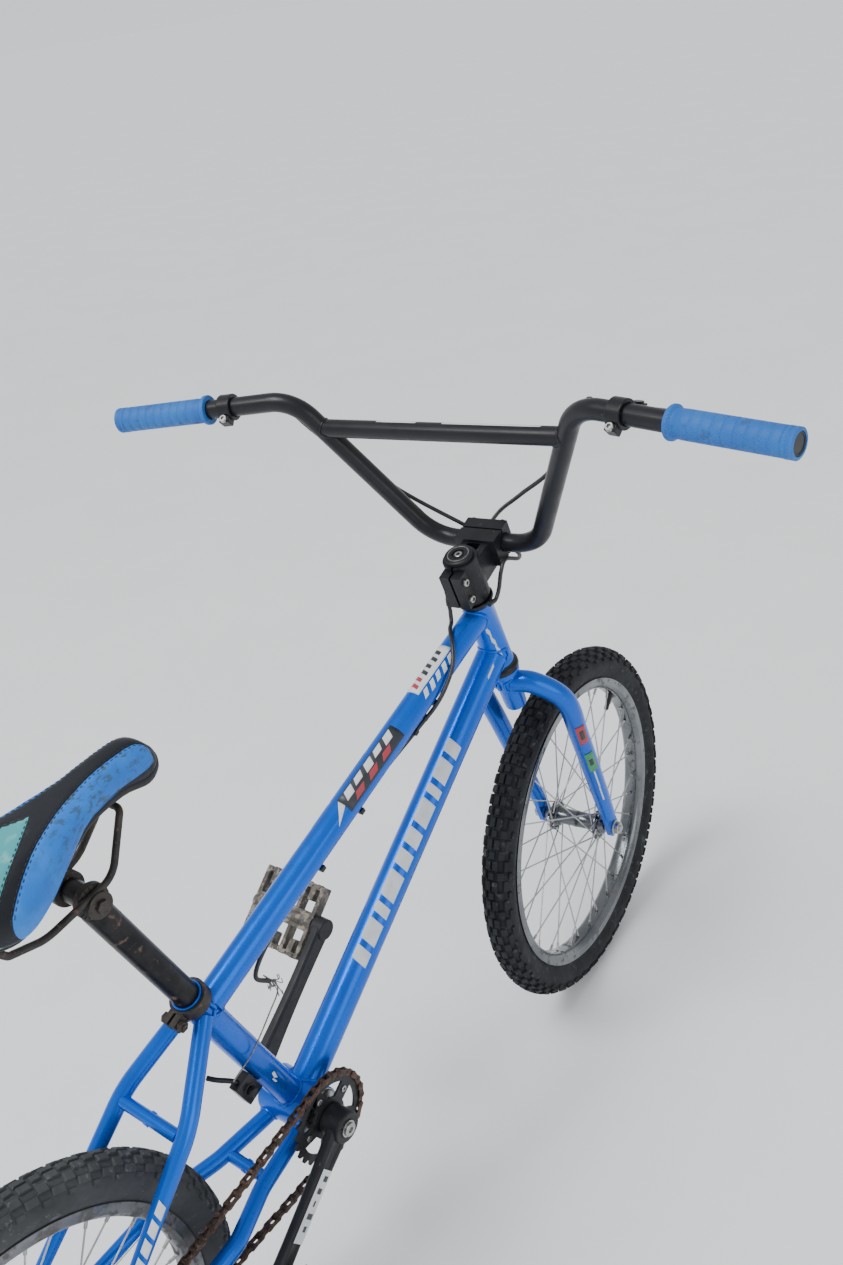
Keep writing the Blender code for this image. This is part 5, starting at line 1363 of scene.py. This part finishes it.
def seam_lines():
    """Points (x, y) along the edges of the dark band and of the wedge, on both sides."""
    lines = []
    for side in (-1, 1):
        run = [0.104 - 0.240 * k / 96 for k in range(97)]
        lines.append([(x, side * band_edge(x)) for x in run])
        lines.append([(x, side * wedge_edge(x)) for x in run if wedge_edge(x) > 0.0015])
    return lines


def press_seams(cover, lines):
    """The sewn channels pull the cover down along each seam."""
    cells = {}
    for line in lines:
        for x, y in line:
            cells.setdefault((round(x / CELL), round(y / CELL)), []).append((x, y))
    for vertex in cover.data.vertices:
        if vertex.co.z < 0.075:
            continue
        cx, cy = round(vertex.co.x / CELL), round(vertex.co.y / CELL)
        near = [p for i in (-1, 0, 1) for j in (-1, 0, 1) for p in cells.get((cx + i, cy + j), ())]
        if near:
            d = min(math.hypot(vertex.co.x - x, vertex.co.y - y) for x, y in near)
            vertex.co.z -= SEAM_DEPTH * math.exp(-(d / SEAM_WIDTH) ** 2)


def sew(tree, lines):
    """Two rows of short stitches on the cover's surface tree, one on each side of every seam."""
    thread = bmesh.new()
    for line in lines:
        for shift in (-STITCH_SHIFT, STITCH_SHIFT):
            spots = []
            for x, y in line:
                hit, normal, _, _ = tree.ray_cast(Vector((x, y + shift, 0.2)), Vector((0, 0, -1)))
                spots.append(hit + normal * 0.0001 if hit and hit.z > 0.070 else None)
            for a, b in zip(spots[::2], spots[1::2]):
                if a and b and (b - a).length < 0.006:
                    a = a.lerp(b, 0.05)
                    add_tube(thread, [a, (a + b) / 2 + Vector((0, 0, 0.0002)), b], 0.00035, 6)
    dress(new_object("saddle_stitches", thread, SADDLE), DARK, "saddle", slot="saddle_vinyl")


def make_saddle():
    run = station_curve(SADDLE_STATIONS, 5)
    inset = [(x, superellipse(max(half - 0.0025, 0.003), low + 0.0060, high - 0.0028))
             for x, half, low, high in run[1:-1]]
    cover = loft("saddle_pad", inset, SADDLE, own_axes=True)
    remesh(cover)
    puff(cover)
    soft = cover.modifiers.new("soften", "SMOOTH")
    soft.factor = 0.5
    soft.iterations = 6
    finer = cover.modifiers.new("finer", "SUBSURF")
    finer.levels = finer.render_levels = 1
    bake(cover)
    lines = seam_lines()
    press_seams(cover, lines)
    tree = BVHTree.FromObject(cover, bpy.context.evaluated_depsgraph_get())
    dress(cover, saddle_material(), "saddle", ["saddle_cover"], sharp=80, slot="saddle_vinyl")
    sew(tree, lines)

    pan = [(x, superellipse(half * 0.68, low + 0.0008, low + 0.0140))
           for x, half, low, high in run[2:-2]]
    dress(loft("saddle_pan", pan, SADDLE), PLASTIC, "saddle", ["saddle_shell"], sharp=60)
    rail = [(-0.102, 0.0440, 0.0395), (-0.092, 0.0400, 0.0255), (-0.052, 0.0248, 0.0030),
            (0.022, 0.0248, 0.0125), (0.056, 0.0120, 0.0575)]
    radii = [0.012, 0.030, 0.030, 0.0065]
    path = rounded(rail + [(x, -y, z) for x, y, z in reversed(rail)], radii + radii[::-1])
    dress(tube("saddle_rail_wire", path, 0.0034, 24, matrix=SADDLE), RUST, "saddle",
          ["saddle_rails"])

    def clamp(bm):
        add_tube(bm, [(0, -0.0335, 0), (0, 0.0335, 0)], 0.0039, 24)
        for sign in (-1, 1):
            add_disc(bm, (0, sign, 0), (0.0126, 0.0134, 0.0200, 0.0210), 0.0165, 48,
                     [0.95, 1.0, 1.0, 0.90])
            add_disc(bm, (0, sign, 0), (0.0286, 0.0290, 0.0306, 0.0310), 0.0125, 40,
                     [0.94, 1.0, 1.0, 0.94])
            add_rod(bm, (0, sign * 0.0310, 0), (0, sign * 0.0350, 0), 0.0066, 6)
            for a in circle(20):
                add_block(bm, (0.0128, -0.0007, -0.0006), (0.0160, 0.0007, 0.0006),
                          move(0, sign * 0.0208, 0) @ spin(a, "Y"))
    dress(joined("saddle_clamp_set", clamp, SADDLE), RUST, "saddle", ["saddle_clamp"], bevel=0.0004)


def make_seat_post():
    def build(bm):
        profile = [(0.0128, 0.1650), (0.0136, 0.1660), (0.0136, 0.4240), (0.0132, 0.4262),
                   (0.0110, 0.4300), (0.0108, 0.4320), (0.0108, 0.4480)]
        add_lathe(bm, profile, 64, closed=False)
        add_disc(bm, (0, 1, SADDLE_PIVOT), (-0.0120, -0.0112, 0.0112, 0.0120), 0.0110, 40,
                 [0.93, 1.0, 1.0, 0.93])
    obj = joined("seat_post_tube", build, SEAT, own_axes=True)
    made = Recipe("seat_post_finish")
    streak = made.noise(60, 9, 0.72, (1, 1, 0.5))
    rings = made.noise(95, 3, 0.5, (0.08, 0.08, 1))
    rust = made.ramp(made.math("ADD", streak, made.math("MULTIPLY", rings, 0.55)), 0.84, 0.95)
    body = made.mix(made.ramp(made.noise(30), 0.4, 0.6), (0.008, 0.008, 0.010),
                    (0.020, 0.019, 0.020))
    made.colour(made.mix(rust, body, (0.12, 0.075, 0.055)))
    made.rough(made.ramp(rust, 0, 1, 0.34, 0.8))
    made.metal(made.ramp(rust, 0, 1, 0.7, 0.1))
    made.bump(rust, 0.4, 0.0002)
    dress(obj, made.material, "seat_post", ["seat_post"], slot="rusty_steel")


# ------------------------------------------------------------------ decals and painted highlights
LIFT, SECOND_LIFT, FILM = 0.00025, 0.00045, 0.0001


def sticker(name, line, radius, corners, mat=WHITE, body="frame", lift=LIFT, up=None,
            steps=(12, 18)):
    """A thin film on a tube. Its corners are four (share of the line, degrees from up), in order,
    where up is the tube's upper side unless another direction is given."""
    start, end = line
    along = (end - start).normalized()
    if up is None:
        right = Vector((0, -1, 0))
        up = right.cross(along).normalized()
        if up.z < 0:
            up = -up
    else:
        up = (up - along * up.dot(along)).normalized()
        right = along.cross(up)

    def blend(u, v, axis):
        a, b, c, d = (corner[axis] for corner in corners)
        return (a * (1 - u) + b * u) * (1 - v) + (d * (1 - u) + c * u) * v
    bm = bmesh.new()
    rows = []
    for i in range(steps[0] + 1):
        row = []
        for j in range(steps[1] + 1):
            share, angle = (blend(i / steps[0], j / steps[1], axis) for axis in (0, 1))
            out = math.cos(math.radians(angle)) * up + math.sin(math.radians(angle)) * right
            row.append(bm.verts.new(start.lerp(end, share) + out * (radius + lift)))
        rows.append(row)
    for a, b in zip(rows, rows[1:]):
        for j in range(steps[1]):
            bm.faces.new((a[j], b[j], b[j + 1], a[j + 1]))
    obj = new_object(name, bm)
    thick = obj.modifiers.new("film", "SOLIDIFY")
    thick.thickness = FILM
    thick.offset = 1.0
    dress(obj, mat, body, sharp=60)


def quad(name, line, radius, s0, s1, a0, a1, mat=WHITE, lift=LIFT, slant=0.0, **more):
    """A sticker between two shares and two angles, slanted along the tube."""
    sticker(name, line, radius, [(s0, a0), (s1, a0), (s1 + slant, a1), (s0 + slant, a1)], mat,
            lift=lift, **more)


def make_decals():
    make_top_tube_marks()
    make_down_tube_marks()
    # painted highlights: four white strips along the head tube's side stand in for the shine of the
    # light on its paint
    for k in range(4):
        low, turn = 0.20 + 0.17 * k, 6 * k
        quad(f"head_painted_highlight_{k}", HEAD_LINE, 0.0182, low, low + 0.12, 116 + turn, 130 + turn,
             slant=0.10)
    sticker("seat_mark", SEAT_LINE, TUBE_RADIUS,
            [(0.300, 92), (0.345, 84), (0.350, 96), (0.318, 102)])
    sticker("seat_mark_low", SEAT_LINE, TUBE_RADIUS,
            [(0.285, 102), (0.318, 104), (0.322, 110), (0.292, 110)])
    stay = (Vector((-0.268, -0.0465, 0.4388)), Vector((-0.4405, -0.0578, 0.2934)))
    for k in range(4):
        low = 0.075 * k
        quad(f"stay_mark_{k}", stay, STAY_RADIUS, 0.28 + low, 0.335 + low, 22, 74, lift=0.00035,
             slant=0.02)
    crossbar = [BAR @ Vector((0, y, CROSSBAR_RISE)) for y in (0.12, -0.12)]
    for k, (s0, s1) in enumerate(((0.18, 0.40), (0.54, 1.04))):
        quad(f"crossbar_strip_{k}", crossbar, CROSSBAR_RADIUS, s0, s1, -9, 9, body="fork",
             up=Vector((-0.08, 0, 1)), steps=(6, 12))
    make_leg_stickers()
    make_arm_sticker()


def make_top_tube_marks():
    """A panel with bars over the top, a dark patch with blocks on the right and two strips."""
    top, r = TOP_TUBE, TUBE_RADIUS
    quad("panel_white_top", top, r, 0.130, 0.262, -52, 28)
    for k in range(6):
        s = 0.142 + 0.019 * k
        low, high = (-30, 8) if k % 2 else (-38, 2)
        quad(f"panel_bar_{k}", top, r, s, s + 0.0095, low, high, DARK if k < 4 else RED,
             SECOND_LIFT, 0.006)
    for k in range(5):
        s = 0.138 + 0.024 * k
        quad(f"side_flash_{k}", top, r, s, s + 0.014, 34, 62 + 4 * (k % 2), slant=0.012)
    quad("patch_dark", top, r, 0.350, 0.545, 0, 76, DARK)
    for k in range(5):
        s = 0.360 + 0.035 * k
        quad(f"patch_block_{k}", top, r, s, s + 0.024, 6, 38 - 7 * (k % 2), WHITE, SECOND_LIFT,
             0.010)
    for k in range(3):
        s = 0.385 + 0.048 * k
        quad(f"patch_red_{k}", top, r, s, s + 0.028, 43, 66, RED, SECOND_LIFT, 0.012)
    sticker("patch_tail", top, r, [(0.545, 6), (0.585, 66), (0.585, 68), (0.545, 40)])
    quad("strip_left_a", top, r, 0.425, 0.548, -45, -38)
    quad("strip_left_b", top, r, 0.556, 0.612, -45, -38)


def make_down_tube_marks():
    """A row of plain slanted white blocks along the tube's upper right, and one painted highlight
    streak near the head tube.
    """
    share = 0.225
    for k, length in enumerate((0.030, 0.046, 0.020, 0.052, 0.034, 0.034, 0.056, 0.022, 0.046,
                                0.030)):
        quad(f"down_mark_{k}", DOWN_TUBE, DOWN_RADIUS, share, share + length, 8, 68, slant=0.010)
        share += length + 0.013
    # painted highlight: a thin white streak on the down tube by the head tube stands in for the
    # light's shine on the paint
    quad("down_tube_painted_highlight", DOWN_TUBE, DOWN_RADIUS, 0.040, 0.072, 50, 58, slant=0.006)


def make_arm_sticker():
    """A worn white label with plain marks on the outer face of the right crank arm."""
    pieces = [(0.046, 0.122, -0.0085, 0.0080, WHITE, 0.0003)]
    pieces += [(0.052 + 0.013 * k, 0.058 + 0.013 * k, -0.0060 + 0.0020 * (k % 3),
                0.0010 + 0.0022 * (k % 2), DARK, 0.0006) for k in range(5)]
    for k, (x0, x1, z0, z1, mat, lift) in enumerate(pieces):
        def build(bm):
            face = 0.0708 + lift
            bridge(bm, [[bm.verts.new((-x, -(face + 0.0102 * x / CRANK_LENGTH + rise), z))
                         for x, z in ((x0, z0), (x1, z0), (x1, z1), (x0, z1))]
                        for rise in (0.0, 0.0002)])
        dress(joined(f"arm_label_{k}", build, CRANK), mat, "crank")


def make_leg_stickers():
    """Worn stickers down the outer face of the right fork leg, as (first, last) path steps."""
    path, radii = leg_path(-1)
    out = STEERING.to_3x3() @ Vector((-0.75, -1, 0))
    marks = [(26, 30, -26, 30, RED), (27, 29, -12, 14, DARK), (32, 35, -26, 30, GREEN),
             (33, 34, -10, 14, DARK), (35, 38, 0, 10, WHITE), (38, 41, 2, 12, WHITE)]
    for k, (first, last, a0, a1, mat) in enumerate(marks):
        line = [STEERING @ path[n] for n in (first, last)]
        quad(f"leg_sticker_{k}", line, LEG_RADIUS * radii[first], 0, 1, a0, a1, mat,
             0.0009 if mat is DARK else 0.0006, body="fork", up=out, steps=(6, 12))


# ------------------------------------------------------------------ stage
SKY, HORIZON = 0.70, 1.04                # brightness overhead and at eye level
FLOOR_SIZE, AIM_HEIGHT = 120, 0.4
LAMPS = (("key", "SUN", (-1.2, 0.3, 3.0), 1.6, 0.45), ("streak", "AREA", (-1.1, 0.7, 2.6), 22, 1.0),
         ("side", "AREA", (-0.4, -2.8, 1.6), 16, 1.8))
EYE, LENS = (-0.6624, -0.7982, 1.3503), 34.38
YAW, PITCH, ROLL = math.radians(42.08), math.radians(-28.39), math.radians(9.6)


def make_stage():
    bm = bmesh.new()
    bmesh.ops.create_grid(bm, x_segments=1, y_segments=1, size=FLOOR_SIZE)
    floor = new_object("floor", bm)
    made = Recipe("pale_floor", rough=0.75)
    made.colour(made.mix(made.ramp(made.noise(3), 0.3, 0.7), (0.89, 0.90, 0.91),
                         (0.92, 0.93, 0.94)))
    floor.data.materials.append(made.material)
    world = bpy.data.worlds.new("studio")
    world.use_nodes = True
    tree = world.node_tree
    place = tree.nodes.new("ShaderNodeTexCoord")
    split = tree.nodes.new("ShaderNodeSeparateXYZ")
    height = tree.nodes.new("ShaderNodeMapRange")
    for name, number in (("From Min", 0.0), ("From Max", 0.30), ("To Min", HORIZON),
                         ("To Max", SKY)):
        height.inputs[name].default_value = number
    tree.links.new(place.outputs["Generated"], split.inputs[0])
    tree.links.new(split.outputs["Z"], height.inputs["Value"])
    back = tree.nodes["Background"]
    back.inputs["Color"].default_value = (0.93, 0.95, 0.98, 1)
    tree.links.new(height.outputs["Result"], back.inputs["Strength"])
    bpy.context.scene.world = world
    for name, kind, place, power, size in LAMPS:
        lamp = bpy.data.lights.new(name, kind)
        lamp.energy = power
        if kind == "SUN":
            lamp.angle = size
        else:
            lamp.size = size
        obj = bpy.data.objects.new(name, lamp)
        bpy.context.scene.collection.objects.link(obj)
        obj.location = place
        aim = Vector((0, 0, AIM_HEIGHT)) - Vector(place)
        obj.rotation_euler = aim.to_track_quat("-Z", "Y").to_euler()


def make_camera():
    camera = bpy.data.cameras.new("camera")
    camera.sensor_width = 36
    camera.lens = LENS
    camera.clip_start = 0.05
    obj = bpy.data.objects.new("camera", camera)
    bpy.context.scene.collection.objects.link(obj)
    ahead = Vector((math.cos(PITCH) * math.cos(YAW), math.cos(PITCH) * math.sin(YAW),
                    math.sin(PITCH)))
    right = Matrix.Rotation(ROLL, 3, ahead) @ ahead.cross(Vector((0, 0, 1))).normalized()
    up = right.cross(ahead)
    rotation = Matrix((right, up, -ahead)).transposed().to_4x4()
    obj.matrix_world = move(*EYE) @ rotation
    bpy.context.scene.camera = obj


make_camera()
make_frame()
make_frame_fittings()
make_fork()
make_stem()
make_bar()
make_levers()
make_wheel("front", FRONT, "front_wheel", (0.034, -0.034), 0.0440, CHROME, TYRE, 0.0040)
make_wheel("rear", REAR, "rear_wheel", (0.030, -0.026), 0.0455, RIM_DULL, TYRE_DUSTY, 0.0030,
           0.0105)
make_drive()
make_seat_post()
make_saddle()
make_cables()
make_decals()
make_stage()
